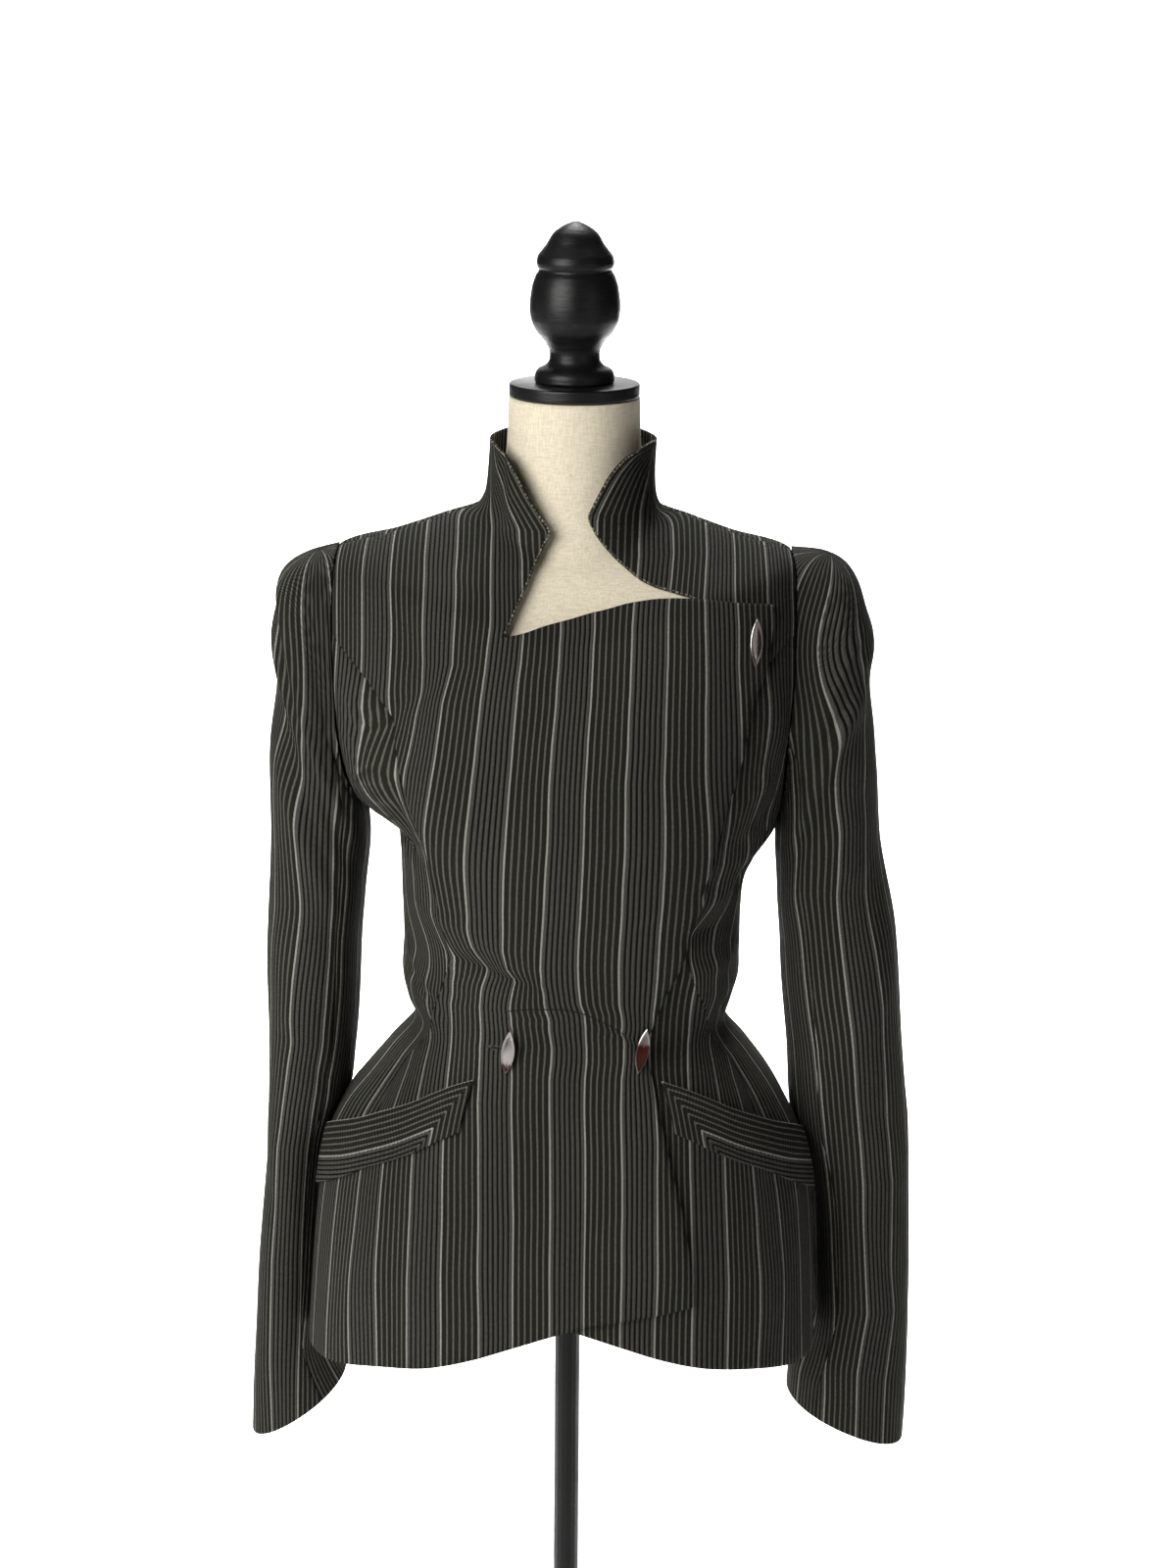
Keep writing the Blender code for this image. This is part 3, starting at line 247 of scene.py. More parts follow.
# Waves and creases of the sleeves: height, ring number, half-length down, place round, half-reach
# round, and how many rings the crease drops for a whole turn. Both sleeves have the waves.
SLEEVE_WAVES = ((3.0, 4.4, 0.55, 0.10, 0.22, 0), (-2.5, 5.3, 0.5, 0.14, 0.22, 0),
                (3.0, 6.2, 0.6, 0.08, 0.24, 0), (-2.5, 7.3, 0.6, 0.20, 0.22, 0),
                (3.0, 8.4, 0.7, 0.85, 0.25, 0), (-2.5, 9.4, 0.6, 0.80, 0.2, 0))
SLEEVE_CREASES = dict(
    right=((3.0, 2.4, 0.9, 0.03, 0.13, 0), (-5.5, 10.6, 2.2, 0.02, 0.13, 0),
           (3.0, 10.4, 0.9, 0.50, 0.12, 0), (1.8, 7.2, 0.7, 0.02, 0.13, 0),
           (1.6, 3.2, 0.30, 0.12, 0.10, 6), (-2.0, 4.0, 0.28, 0.14, 0.12, 7),
           (1.6, 4.8, 0.30, 0.16, 0.12, 6), (-1.8, 5.7, 0.28, 0.20, 0.12, 5),
           (1.5, 6.5, 0.26, 0.22, 0.12, 4), (-1.6, 7.6, 0.24, 0.18, 0.10, -3),
           (1.4, 8.6, 0.24, 0.24, 0.10, -4), (-1.5, 9.3, 0.24, 0.26, 0.12, 3),
           (1.5, 10.2, 0.26, 0.90, 0.12, 4), (-1.4, 12.0, 0.36, 0.15, 0.10, 5),
           (1.4, 8.0, 0.3, 0.75, 0.12, -4), (-1.5, 9.0, 0.3, 0.72, 0.12, -5)),
    left=((-7.0, 8.5, 1.1, 0.02, 0.13, 0), (1.5, 6.9, 0.8, 0.02, 0.13, 0),
          (3.5, 12.1, 1.2, 0.50, 0.12, 0),
          (1.7, 3.4, 0.30, 0.13, 0.10, -6), (-2.0, 4.2, 0.28, 0.16, 0.12, -7),
          (1.6, 5.1, 0.30, 0.12, 0.12, -6), (-1.9, 6.0, 0.28, 0.18, 0.12, -5),
          (1.5, 6.9, 0.26, 0.20, 0.12, -4), (-1.6, 7.8, 0.24, 0.22, 0.10, 3),
          (1.5, 8.7, 0.24, 0.20, 0.10, 4), (-1.4, 9.6, 0.24, 0.24, 0.12, -3),
          (1.5, 10.5, 0.26, 0.88, 0.12, -4), (-1.4, 12.3, 0.36, 0.17, 0.10, -5),
          (1.4, 7.7, 0.3, 0.78, 0.12, 4), (-1.5, 9.2, 0.3, 0.74, 0.12, 5)),
)

# Metal buttons, pointed ovals on a shank: name, angle, level, how their length leans from upright
# (degrees), and how far out from the front's smooth surface the shank starts, in millimetres
BUTTONS = (("button_chest", 56.3, 1340, 6, -0.8), ("button_waist_right", -24.3, 1037.5, 6, 1.0),
           ("button_waist_left", 28.9, 1038, 10, 1.0))
BUTTON_LENGTH = 0.035
BUTTON_WIDTH = 0.0115
SHANK = dict(radius=0.0024, height=0.0042, step=0.0002)

# Dress form: how far it lies within the cloth at some levels, the neck's height, radius and dip at
# the front, and the radius and height of the turned pieces from bottom to top, in millimetres
FORM_GAP = ((872, 12), (1000, 7), (1036, 7), (1100, 8), (1174, 6), (1220, 7), (1290, 6),
            (1340, 4), (1377, 2.2), (1452, 2.0), (1465, 5))
FORM_BOTTOM = 872
FORM_STEPS = dict(around=180, torso=120, neck=24)   # steps round, and rings of torso and neck
PROFILE_FINER = 6        # rings for each stretch of a turned piece's profile
ARM_PLATE = dict(right=0.150, left=0.141)   # the flat ends of the form's shoulders
NECK = ((1424, 54.0, 9), (1438, 50.0, 5), (1456, 47.2, 1), (1488, 46.2, 0))
DISC = ((43.5, 1488.3), (45.6, 1489.2), (46.0, 1490.5), (46.0, 1496.5), (45.4, 1497.8),
        (43.5, 1498.2))
FINIAL = ((27.0, 1498.5), (28.0, 1500), (28.0, 1503), (26.5, 1507), (20.0, 1511), (17.8, 1515),
          (17.6, 1519), (20.5, 1526), (27.0, 1534), (31.2, 1544), (31.8, 1551), (30.4, 1564),
          (27.6, 1573), (25.4, 1577), (26.6, 1579), (27.2, 1582), (26.4, 1586), (24.0, 1589.5),
          (20.5, 1594), (15.5, 1602), (8.0, 1607.5), (2.0, 1610))


def named_columns(columns, rows):
    """The columns of a table, each as one array under its name."""
    return {name: np.array(values) for name, values in zip(columns.split(), zip(*rows))}


def curve(places, values):
    """A smooth line through the points that never overshoots between two of them."""
    x = np.asarray(places, float)
    y = np.asarray(values, float)
    step = np.diff(x)
    rise = np.diff(y) / step
    slope = np.zeros_like(y)
    slope[0] = rise[0]
    slope[-1] = rise[-1]
    before = 2 * step[1:] + step[:-1]
    after = step[1:] + 2 * step[:-1]
    same_way = rise[:-1] * rise[1:] > 0
    safe = np.where(same_way, rise[:-1], 1), np.where(same_way, rise[1:], 1)
    slope[1:-1] = np.where(same_way, (before + after) / (before / safe[0] + after / safe[1]), 0)

    def at(place):
        """The line's value at a place, held at the ends."""
        place = np.clip(np.asarray(place, float), x[0], x[-1])
        left = np.clip(np.searchsorted(x, place) - 1, 0, len(x) - 2)
        width = x[left + 1] - x[left]
        t = (place - x[left]) / width
        return ((2 * t**3 - 3 * t**2 + 1) * y[left] + (t**3 - 2 * t**2 + t) * width * slope[left]
                + (3 * t**2 - 2 * t**3) * y[left + 1] + (t**3 - t**2) * width * slope[left + 1])

    return at


def run_of(points):
    """Length along a line of points, counted from its first."""
    return np.concatenate([[0], np.cumsum(np.linalg.norm(np.diff(points, axis=0), axis=1))])


def circle(steps):
    """Angles once round, in radians."""
    return np.linspace(0, 2 * pi, steps, endpoint=False)


def unit(vectors):
    """The same directions, each of length one."""
    return vectors / np.linalg.norm(vectors, axis=-1, keepdims=True)


def bump(*away):
    """A soft bump of height one: e to the minus sum of squares of the distances from its middle,
    each as a share of its half-width."""
    return np.exp(-sum(share ** 2 for share in away))


def wrapped(angle):
    """An angle in degrees, brought to between -180 and 180."""
    return (angle + 180) % 360 - 180


def ease(value, start, end):
    """0 before start, 1 after end, smooth between."""
    t = np.clip((value - start) / (end - start), 0, 1)
    return t * t * (3 - 2 * t)


sections = named_columns(**SECTIONS)
section = {name: curve(sections["level"], values) for name, values in sections.items()}
folds = FOLDS


def underarm(angle, level):
    """How far the cloth swells out under the arms, in millimetres: a soft bump over the angle times
    a rise and fall over the level."""
    out = np.zeros(np.broadcast(angle, level).shape)
    for side, swell in ((-1, UNDERARM["right"]), (1, UNDERARM["left"])):
        rising_part = ease(level, swell["start"], swell["full"])
        height = rising_part * (1 - ease(level, swell["fades"], swell["gone"]))
        out = out + swell["out"] * height * bump(wrapped(angle - side * 90) / UNDERARM_SPREAD)
    return out


def fold_height(angle, level, radius):
    """Sum of the folds' soft ridges and hollows, in millimetres."""
    out = np.zeros(np.broadcast(angle, level).shape)
    for height, centre, middle, length, width, lean in folds:
        across = radians(1) * wrapped(angle - centre) * radius
        up = level - middle
        lean = radians(lean)
        along = across * cos(lean) + up * sin(lean)
        aside = -across * sin(lean) + up * cos(lean)
        out = out + height * bump(along / length, aside / width)
    return out


def body(angle, level, cloth=True):
    """Point of the body surface: a rounded section round the body whose front and back dip."""
    angle, level = np.broadcast_arrays(np.asarray(angle, float), np.asarray(level, float))
    s = np.sin(np.radians(angle))
    c = np.cos(np.radians(angle))
    leftward = (1 + s) / 2
    side = section["right"](level) * (1 - leftward) + section["left"](level) * leftward
    depth = np.where(c > 0, section["front"](level), section["back"](level))
    dip = np.where(c > 0, section["front_dip"](level), section["back_dip"](level))
    power = section["squareness"](level)
    radius = (np.abs(s / side) ** power + np.abs(c / depth) ** power) ** (-1 / power)
    if cloth:
        radius = radius + underarm(angle, level) + fold_height(angle, level, radius)
    z = section["side_z"](level) - dip * c * c
    return np.stack([radius * s, -radius * c, z], -1) * MM


def outward(angle, level, cloth=True):
    """Unit normal of the body surface, from its slopes round and up."""
    round_slope = body(angle + 0.5, level, cloth) - body(angle - 0.5, level, cloth)
    up_slope = body(angle, level + 1.0, cloth) - body(angle, level - 1.0, cloth)
    return unit(np.cross(round_slope, up_slope))


def lap(angle):
    """How far out the overlapping front lies: nothing at the side, all of it past the princess."""
    return LAP_LIFT * ease(angle, *LAP_EASE)


def armhole_x(side, z):
    """Distance of the armhole seam from the centre at this height."""
    heights, outs = zip(*ARMHOLE[side])
    return curve(heights, outs)(z)


def sign(side):
    """-1 for the wearer's right, the -X side, and 1 for the left."""
    return -1 if side == "right" else 1


def past_armhole(side, angle, level):
    """How far outside the armhole seam a point lies; angle counts towards that side."""
    point = body(sign(side) * angle, level) / MM
    return np.abs(point[..., 0]) - armhole_x(side, point[..., 2])


def armhole_angle(side, level, back):
    """Angle at which the armhole seam crosses this level, in front of the side or behind it."""
    inside = np.full(np.shape(level), 179.0 if back else 1.0)
    outside = np.full(np.shape(level), 90.0)
    for _ in range(HALVINGS):
        middle = (inside + outside) / 2
        out = past_armhole(side, middle, level) > 0
        outside = np.where(out, middle, outside)
        inside = np.where(out, inside, middle)
    return (inside + outside) / 2


def armhole_end(side, low, high):
    """Level at which the side itself, between two levels, crosses the armhole seam."""
    low_is_out = past_armhole(side, 90.0, low) > 0
    for _ in range(HALVINGS):
        middle = (low + high) / 2
        if (past_armhole(side, 90.0, middle) > 0) == low_is_out:
            low = middle
        else:
            high = middle
    return (low + high) / 2


ARMHOLE_LEVELS = {side: (armhole_end(side, 1160.0, 1240.0), armhole_end(side, 1370.0, 1409.0))
                  for side in ("right", "left")}


def evenly(points, count):
    """A smooth line through the points, cut into equal stretches."""
    points = np.asarray(points, float)
    scale = np.array([TURN_LENGTH, 1.0])
    run = run_of(points * scale)
    if len(points) == 2:
        fine = points[0] + (points[1] - points[0]) * np.linspace(0, 1, LINE_STEPS)[:, None]
    else:
        place = np.linspace(0, run[-1], LINE_STEPS)
        fine = np.stack([curve(run, points[:, 0])(place), curve(run, points[:, 1])(place)], -1)
    length = run_of(fine * scale)
    want = np.linspace(0, length[-1], count + 1)
    return np.stack([np.interp(want, length, fine[:, 0]), np.interp(want, length, fine[:, 1])], -1)


def rising(points, levels):
    """A tall line cut at these levels."""
    angles, heights = zip(*points)
    return np.stack([curve(heights, angles)(levels), np.asarray(levels, float)], -1)


def like(levels, start, end):
    """Levels that follow the given ones, but start and end elsewhere."""
    share = np.linspace(0, 1, len(levels))
    return (levels + (start - levels[0]) * (1 - ease(share, 0, 0.35))
            + (end - levels[-1]) * ease(share, 0.25, 1))


def joined(*lines):
    """Several sampled lines end to end, with the shared points once."""
    return np.concatenate([lines[0]] + [line[1:] for line in lines[1:]])


def patch(bottom, top, left, right):
    """Blend four sampled edges into a grid of (angle, level): rows go from bottom to top."""
    u = np.linspace(0, 1, len(bottom))[None, :, None]
    v = np.linspace(0, 1, len(left))[:, None, None]
    across = (1 - v) * bottom[None] + v * top[None]
    up = (1 - u) * left[:, None] + u * right[:, None]
    corners = ((1 - u) * (1 - v) * bottom[0] + u * (1 - v) * bottom[-1]
               + (1 - u) * v * top[0] + u * v * top[-1])
    return across + up - corners


def armhole_line(side, low, high, back, count):
    """The armhole seam between two levels."""
    turn = np.linspace(0, pi, ARM_STEPS)
    level = low + (high - low) * (1 - np.cos(turn)) / 2
    angle = armhole_angle(side, level, back)
    bottom, top = ARMHOLE_LEVELS[side]
    angle = np.where(np.abs(level - bottom) < AT_END, 90.0, angle)
    angle = np.where(np.abs(level - top) < AT_END, 90.0, angle)
    return evenly(np.stack([angle, level], -1), count)


# Looks
ZONE_A = 0.0262          # width of the run's first zone; the rest of the run is zone B
# The near black of the rib gaps is partly the cloth's darker ground and partly painted shade of the
# recesses between the ribs
WOOL = dict(olive_ground=(0.0165, 0.0168, 0.0130), grey_cord=(0.103, 0.102, 0.088),
            grey_rib=(0.064, 0.0635, 0.0555), rib_gap_painted_shade=(0.0032, 0.0032, 0.0027),
            bright_cord=(0.30, 0.292, 0.265))
LINEN = dict(light=(0.84, 0.775, 0.62), shade=(0.70, 0.63, 0.48), slub=(0.80, 0.75, 0.64),
             fleck=(0.42, 0.33, 0.22), warm=(0.70, 0.60, 0.46))
# Button metal: its dark red and bright are a painted reflection, set point by point by the button's
# map
METAL_PAINTED_REFLECTION = dict(dark=(0.07, 0.013, 0.008), bright=(0.56, 0.54, 0.53))
WELT_MITRE = 0.0005      # how far behind the welt's front end its stripes turn up
WELT_PHASE = 0.0125      # place across the stripes at the welt's upper edge
COLLAR_LEAN = (0.004, 0.050)   # from the collar's front edge, where its stripes follow the edge
SLEEVE_PHASE = dict(right=0.021, left=0.035)   # place across the stripes at the grain line
# Where folds carry the sleeves' stripes aside: pull in mm, x, level, half-width, half-height
SLEEVE_PULLS = dict(
    right=((12, -212, 1282, 26, 50), (-3, -220, 1180, 24, 40), (3, -190, 1110, 24, 40)),
    left=((-12, 178, 1322, 28, 40), (6, 204, 1262, 24, 34), (4, 178, 1190, 30, 50)),
)
STEADY_RING = 9          # ring whose length round stands for a bearing from the sleeve's axis
AXIS_RINGS = (5, 7, 9, 11, 13, 15)   # rings whose middles are the sleeve's axis
SLEEVE_FRONT = 0.2       # share round, where stripes stay straight to the cuff
UNDER_GRAIN = 0.49       # share round of the under sleeve's grain line
FINE_SEAM = 0.0002       # half the gap of the sleeves' seams, as a share of the way round
OWN_LENGTH = (12, 16)    # between these rings the stripes pass from bearing to each ring's length
SLEEVE_QUADS = 110       # quads once round a sleeve
HEAD_QUADS = 43          # quads from the sleeve's top to its last head ring, and from there down
ARM_QUADS = 149
SLOPE_STEP = 0.01        # step of ring and share by which a sleeve's slopes are taken
BUTTON_TWIST = 0.0016    # distance out, times the places across and along as shares of the head
BUTTON_SLIM = 0.87       # the head's outline against the solid's, and how pointed its ends are
BUTTON_ENDS = 0.95
SHANK_PAINTED_REFLECTION = 0.3                # painted reflection of the shank, between the dark red and the bright
PAINTED_REFLECTION_EDGE = 0.06     # width of the change in the face's painted reflection, and the rim's painted highlight below it
RIM_PAINTED_HIGHLIGHT = 0.25
TURNED_STEPS = 96        # steps round a button and a turned piece
# Rings of a button's head: share of the outline, height above the shank's top in millimetres, and
# painted reflection, where -1 stands for the face's
FINE_BUTTON = ((0.70, 0.0, 0.3), (0.93, 0.5, 0.5), (0.99, 1.0, 0.9), (1.0, 1.3, 1.0),
               (0.985, 1.7, 1.0), (0.93, 2.1, 1.0), (0.88, 2.15, 0.9), (0.84, 1.95, -1),
               (0.80, 1.9, -1), (0.60, 2.05, -1), (0.40, 2.2, -1), (0.2, 2.3, -1), (0.05, 2.32, -1))
# Painted reflection of the flat face: above and below the line where its reflection changes, and
# that line's height as a share of the half-length
BUTTON_PAINTED_REFLECTION = dict(button_chest=(0.40, 0.97, -0.50), button_waist_right=(0.80, 0.03, -0.55),
                    button_waist_left=(0.55, 0.02, 0.30))
# Stitches, and the marks of the waist crease's painted shade line: half-length, half-width, height,
# distance from one to the next, how far in from the edge
BEAD = dict(size=(0.0011, 0.0008, 0.0006), step=0.0031, inset=0.0009)
# Long thin marks that join into the near-black painted shade line of the waist crease
CREASE_SHADE_BEAD = dict(size=(0.0019, 0.00045, 0.0003), step=0.0030, inset=0.0)
HOLE_BEAD = (0.0010, 0.00045, 0.0004)
# Rings of a stitch: place along it and radius, as shares
BEAD_RINGS = ((-1.0, 0.25), (-0.7, 0.8), (0.0, 1.0), (0.7, 0.8), (1.0, 0.25))
BEAD_TIP = 1.05          # place of a stitch's pointed ends, and steps round it
BEAD_STEPS = 8
SEWING_STEPS = 600       # points that a stitched line is worked out at
# Near-black line of painted shade in the crease over the waist buttons on the right front: angle
# towards the wearer's right, level
WAIST_CREASE_SHADE = ((24, 1070), (13.5, 1072), (4, 1071.5), (-6.2, 1068), (-12.2, 1063.5), (-18, 1058),
              (-23, 1052))
# A worked buttonhole, whose slit is a dark mark of painted shade
BUTTONHOLE = dict(angle=-30.0, level=1037.0, length=0.0052, width=0.0014, stitches=26, blunt=0.7,
                  slit=(0.00442, 0.0006, 0.0002))
# Weave: sway of the stripes, half-widths and slopes of the chevrons and of the slant, relief, and
# distances between which each kind of line fades, all but the slopes in metres; the ribs and cords
# of a zone; how dark and light the weave, the fibre and large clouds make the cloth
WEAVE = dict(sway=0.0016, chevron=0.0008, chevron_slope=1.1, slant=0.00055, slant_slope=0.8,
             relief=0.00055, bright_edge=(0.00045, 0.00085), cord_edge=(0.00040, 0.00095),
             rib_edge=(0.00030, 0.00105), slant_edge=(0.0001, 0.00045),
             chevron_edge=(0.0002, 0.0006), cords=6, ribs=7, light=(0.66, 1.22),
             fibre=(0.80, 1.20), cloud=(0.90, 1.10))
# Paint: stretch of its grain lines, roughness, colour
PAINT = dict(black_painted_wood=((70.0, 70.0, 900.0), 0.30, (0.006, 0.006, 0.007)),
             black_iron=((400.0, 400.0, 400.0), 0.36, (0.003, 0.003, 0.003)))
# Thread, and the near-black painted shade of the waist crease and the buttonhole's slit: darker
# and lighter colour
THREADS = dict(edge_thread=((0.03, 0.028, 0.022), (0.26, 0.24, 0.19)),
               buttonhole_thread=((0.012, 0.012, 0.010), (0.075, 0.073, 0.062)),
               painted_shade_dark=((0.004, 0.004, 0.004), (0.008, 0.008, 0.008)))
# Camera: place, tip down and turn about its own axis in degrees, focal length in millimetres
CAMERA = dict(place=(0.0119, -2.33, 1.827), down=14.9, roll=0.5, lens=76.545)
# Floor and wall in metres: where the flat part starts and ends, where the bend starts, its radius,
# the wall's top, half-widths of floor and wall; steps round the bend
FLOOR = dict(flat=[-5.0, 0.8], back=3.2, bend=1.6, height=7.0, half_width=5.0, half_wall=2.2,
             steps=25)
SKY = 0.04
# Lights: name, place, aim, size, spread in degrees, power, colour
LIGHTS = (
    ("key", (-1.75, -2.1, 2.25), (0.0, 0.0, 1.15), 2.4, 180, 98.0, (1.0, 0.985, 0.95)),
    ("fill", (2.4, -2.6, 1.6), (0.0, 0.0, 1.1), 2.0, 180, 7.0, (1.0, 0.95, 0.90)),
    ("back", (0.0, 3.1, 5.0), (0.0, 2.95, 0.0), 3.0, 84, 330.0, (1.0, 1.0, 1.0)),
)

# Folds that the solids leave out, in the same way as FOLDS
CREASES = (
    (2.6, -41.8, 1131, 37, 9, -11),
    (-3.4, -31.0, 1101, 34, 7, -17),
    (2.4, -27.8, 1083, 32, 8, -7),
    (-2.6, -61, 1071, 21, 6, -43),
    (2.2, -66, 1092, 24, 8, -30),
    (-1.6, -7.5, 1064, 34, 3.2, -4),
    (-1.4, 20.2, 1052, 17, 4, -32),
    (-2.6, -60.5, 1272, 26, 9, 6),
    (-3.2, -53, 1284, 30, 9, 51),
    (3.0, -60, 1236, 34, 12, 17),
    (-2.6, -52.8, 1214, 34, 7, -87),
    (-4.2, 51.2, 1122, 28, 8, 6),
    (3.0, 50.5, 1144, 28, 9, 4),
    (3.0, 60, 1094, 30, 9, 4),
    (2.4, 60.5, 1226, 26, 8, 25),
    (-2.6, 66, 1200, 26, 7, 24),
    (2.6, 70, 1180, 26, 8, 24),
    (-2.4, 75, 1158, 24, 7, 31),
    (-2.4, 49.2, 1216, 26, 6, 76),
    (-2.2, 74.5, 1058, 18, 6, 34),
    (-1.6, -52.5, 1340, 34, 12, -65),
    (1.4, -20, 1290, 46, 16, 78),
    (-1.6, 78, 1010, 30, 8, -80),
    (-1.6, -80, 1004, 34, 8, 66),
    (1.3, -24, 905, 50, 14, 84),
    (-1.4, 6, 880, 44, 12, 88),
    (1.4, 30, 900, 46, 14, 86),
    (-1.8, -110, 1112, 36, 9, -20),
    (2.2, -112, 1086, 34, 9, -16),
    (-2.4, 114, 1108, 38, 9, 22),
    (2.4, 112, 1084, 34, 9, 14),
    (-2.2, 150, 1078, 44, 9, 4),
    (2.0, 158, 1100, 40, 10, -4),
    (-1.8, -158, 1088, 40, 10, 6),
    (1.8, -140, 1150, 46, 12, 62),
    (-1.8, 135, 1200, 46, 12, -60),
    (-8.0, -75, 1188, 42, 8, -12),
    (-6.5, 77, 1170, 34, 9, 55),
    (1.6, 168, 1260, 60, 14, 86),
    (-1.6, -160, 1290, 56, 14, 80),
)

# Where the bright stripes of the fronts lie, measured off the photograph: x in millimetres of each
# at some heights, heights first. Zones A and B take turns between them.
STRIPES = (
    (864, -136.5, -113.9, -88.3, -61.9, -38.0, -12.1, 12.1, 37.9, 63.0, 89.7, 115.9),
    (921, -135.1, -111.9, -87.9, -61.6, -38.0, -12.0, 12.5, 38.5, 62.5, 87.5, 113.2),
    (969, -133.4, -110.3, -86.9, -62.2, -38.6, -12.5, 12.1, 37.6, 62.4, 86.0, 111.3),
    (997, -132.9, -109.2, -85.8, -62.8, -39.6, -13.2, 11.3, 36.7, 60.7, 85.2, 109.9),
    (1016, -123.5, -108.1, -84.3, -61.9, -39.3, -13.4, 11.3, 36.9, 57.7, 84.2, 108.7),
    (1028, -120.5, -107.6, -83.3, -61.2, -39.8, -12.2, 12.3, 38.2, 56.8, 84.2, 108.5),
    (1041, -117.7, -106.7, -82.6, -60.9, -38.9, -12.3, 12.4, 38.3, 56.6, 84.7, 108.9),
    (1054, -116.8, -105.5, -81.8, -60.6, -38.8, -13.3, 11.5, 36.8, 56.8, 84.9, 108.7),
    (1067, -120.1, -104.6, -81.6, -60.8, -39.3, -13.6, 10.4, 35.5, 57.7, 85.6, 108.6),
    (1070, -120.5, -104.3, -81.0, -60.9, -39.5, -15.6, 9.4, 35.0, 58.0, 85.8, 108.6),
    (1076, -120.8, -103.9, -79.5, -60.0, -39.4, -17.2, 7.8, 34.4, 58.7, 86.2, 108.8),
    (1092, -120.1, -103.8, -77.1, -57.3, -37.1, -19.0, 6.5, 34.0, 59.8, 87.5, 109.8),
    (1104, -119.8, -107.1, -78.6, -57.8, -43.0, -19.5, 6.2, 33.9, 60.2, 88.7, 111.1),
    (1116, -119.9, -110.2, -82.9, -65.5, -45.0, -19.0, 6.3, 34.2, 60.6, 89.8, 111.8),
    (1131, -120.5, -113.4, -88.1, -68.1, -44.6, -18.4, 6.6, 34.7, 60.9, 90.1, 112.8),
    (1146, -120.8, -117.1, -92.8, -68.4, -44.7, -17.7, 7.2, 35.3, 61.4, 90.0, 113.8),
    (1170, -123.4, -118.6, -95.5, -68.3, -44.1, -17.2, 8.0, 35.7, 61.5, 89.9, 113.7),
    (1198, -137.6, -116.0, -95.2, -67.7, -43.2, -15.7, 9.3, 37.0, 61.9, 89.7, 113.9),
    (1239, -133.1, -112.6, -93.0, -66.3, -41.3, -14.3, 10.6, 37.3, 62.4, 89.7, 114.6),
    (1265, -129.2, -108.7, -90.2, -64.0, -39.4, -13.1, 11.6, 38.8, 63.8, 90.6, 115.2),
    (1291, -125.9, -104.4, -86.9, -61.3, -37.1, -10.6, 13.4, 39.6, 64.6, 90.9, 114.2),
    (1304, -124.9, -102.6, -83.6, -59.8, -35.9, -9.7, 14.2, 40.3, 64.8, 91.2, 113.4),
    (1317, -124.8, -101.7, -80.3, -58.5, -34.6, -8.9, 14.7, 40.6, 65.2, 91.1, 112.8),
    (1342, -124.9, -102.2, -79.8, -56.5, -33.8, -7.9, 15.9, 41.8, 66.0, 90.6, 112.8),
    (1361, -125.1, -102.0, -79.8, -56.1, -34.0, -7.4, 16.4, 43.5, 67.1, 90.7, 112.0),
    (1386, -125.7, -102.4, -79.9, -56.0, -34.4, -7.7, 16.3, 45.9, 69.8, 92.6, 112.6),
)
FIRST_STRIPE = -4        # number of the first column's stripe
# How far a stripe of the side fronts is drawn aside, in millimetres towards +X, about a place
# given by x and z, within a half-width and a half-height
PULLS = (
    (20, -108, 1096, 34, 24),
    (-15, 92, 1108, 22, 22),
    (-10, 118, 1085, 20, 20),
    (12, 122, 1150, 20, 30),
    (-9, -140, 1220, 26, 36),
    (5, -120, 1190, 26, 26),
)
BRIGHT_STRIPE = 12.5     # x of one bright stripe on the front
REPEAT = 0.0505          # width of the whole run of stripes
# Levels whose lengths round place the stripes, and the angles and levels between which the length
# round the section takes over at the hip's side, at the side of the neck and at the back's side
REFERENCE = dict(hip=900, chest=1190, collar=1490)
ROUND_HIP = dict(angle=(50, 80), level=(985, 1060))
ROUND_NECK = dict(angle=(60, 88), level=(1440, 1485))
ROUND_SIDE = dict(angle=(40, 75), level=(1350, 1400))
# From this level up, over this rise, each millimetre of level counts for this much more length
OVER_SHOULDER = dict(level=1377, rise=90, more=0.9)
FRONT_TURN = 84          # degrees either way in which a place on the front is found by its x
STEEPEST = 1.6           # most length round for each length of x past that
FINER = dict(rows=6, columns=5)   # a scene's panel has this many quads for each one of the solid
KEY_STEPS = 100          # grids share a point where their places agree to a hundredth, counted
KEY_OFFSET = 0.137       # from just beside a whole number
LEAST_TURN = 0.35        # keeps the corners of a narrow piece from being drawn in too far
ROUND_EDGE = 0.00018     # how far the middle of a raw edge stands out
CUT_ROOM = 1.02          # a flat cut is this much larger than the piece where it would be smaller
LEAST_FILL = 0.32        # a flat cut of which a piece fills less is made narrower, to this share
SURE_FILL = 0.34


def hem_line(start, end, count):
    """The front hem between two angles."""
    angles, levels = zip(*HEM[::-1])
    angle = np.linspace(start, end, EDGE_STEPS)
    return evenly(np.stack([angle, curve(angles, levels)(angle)], -1), count)


def pocket_cut(start, end, count):
    """The line behind the welt where the skirt of the front is cut from what is above it."""
    pocket = named_columns(**POCKET)
    angle = np.linspace(start, end, EDGE_STEPS)
    level = curve(pocket["angle"], pocket["bottom"])(angle) + POCKET_CUT
    return evenly(np.stack([angle, level], -1), count)


def cut_level(angle):
    """Level of the pocket cut at one angle."""
    return float(pocket_cut(angle, angle + 0.01, 1)[0, 1])


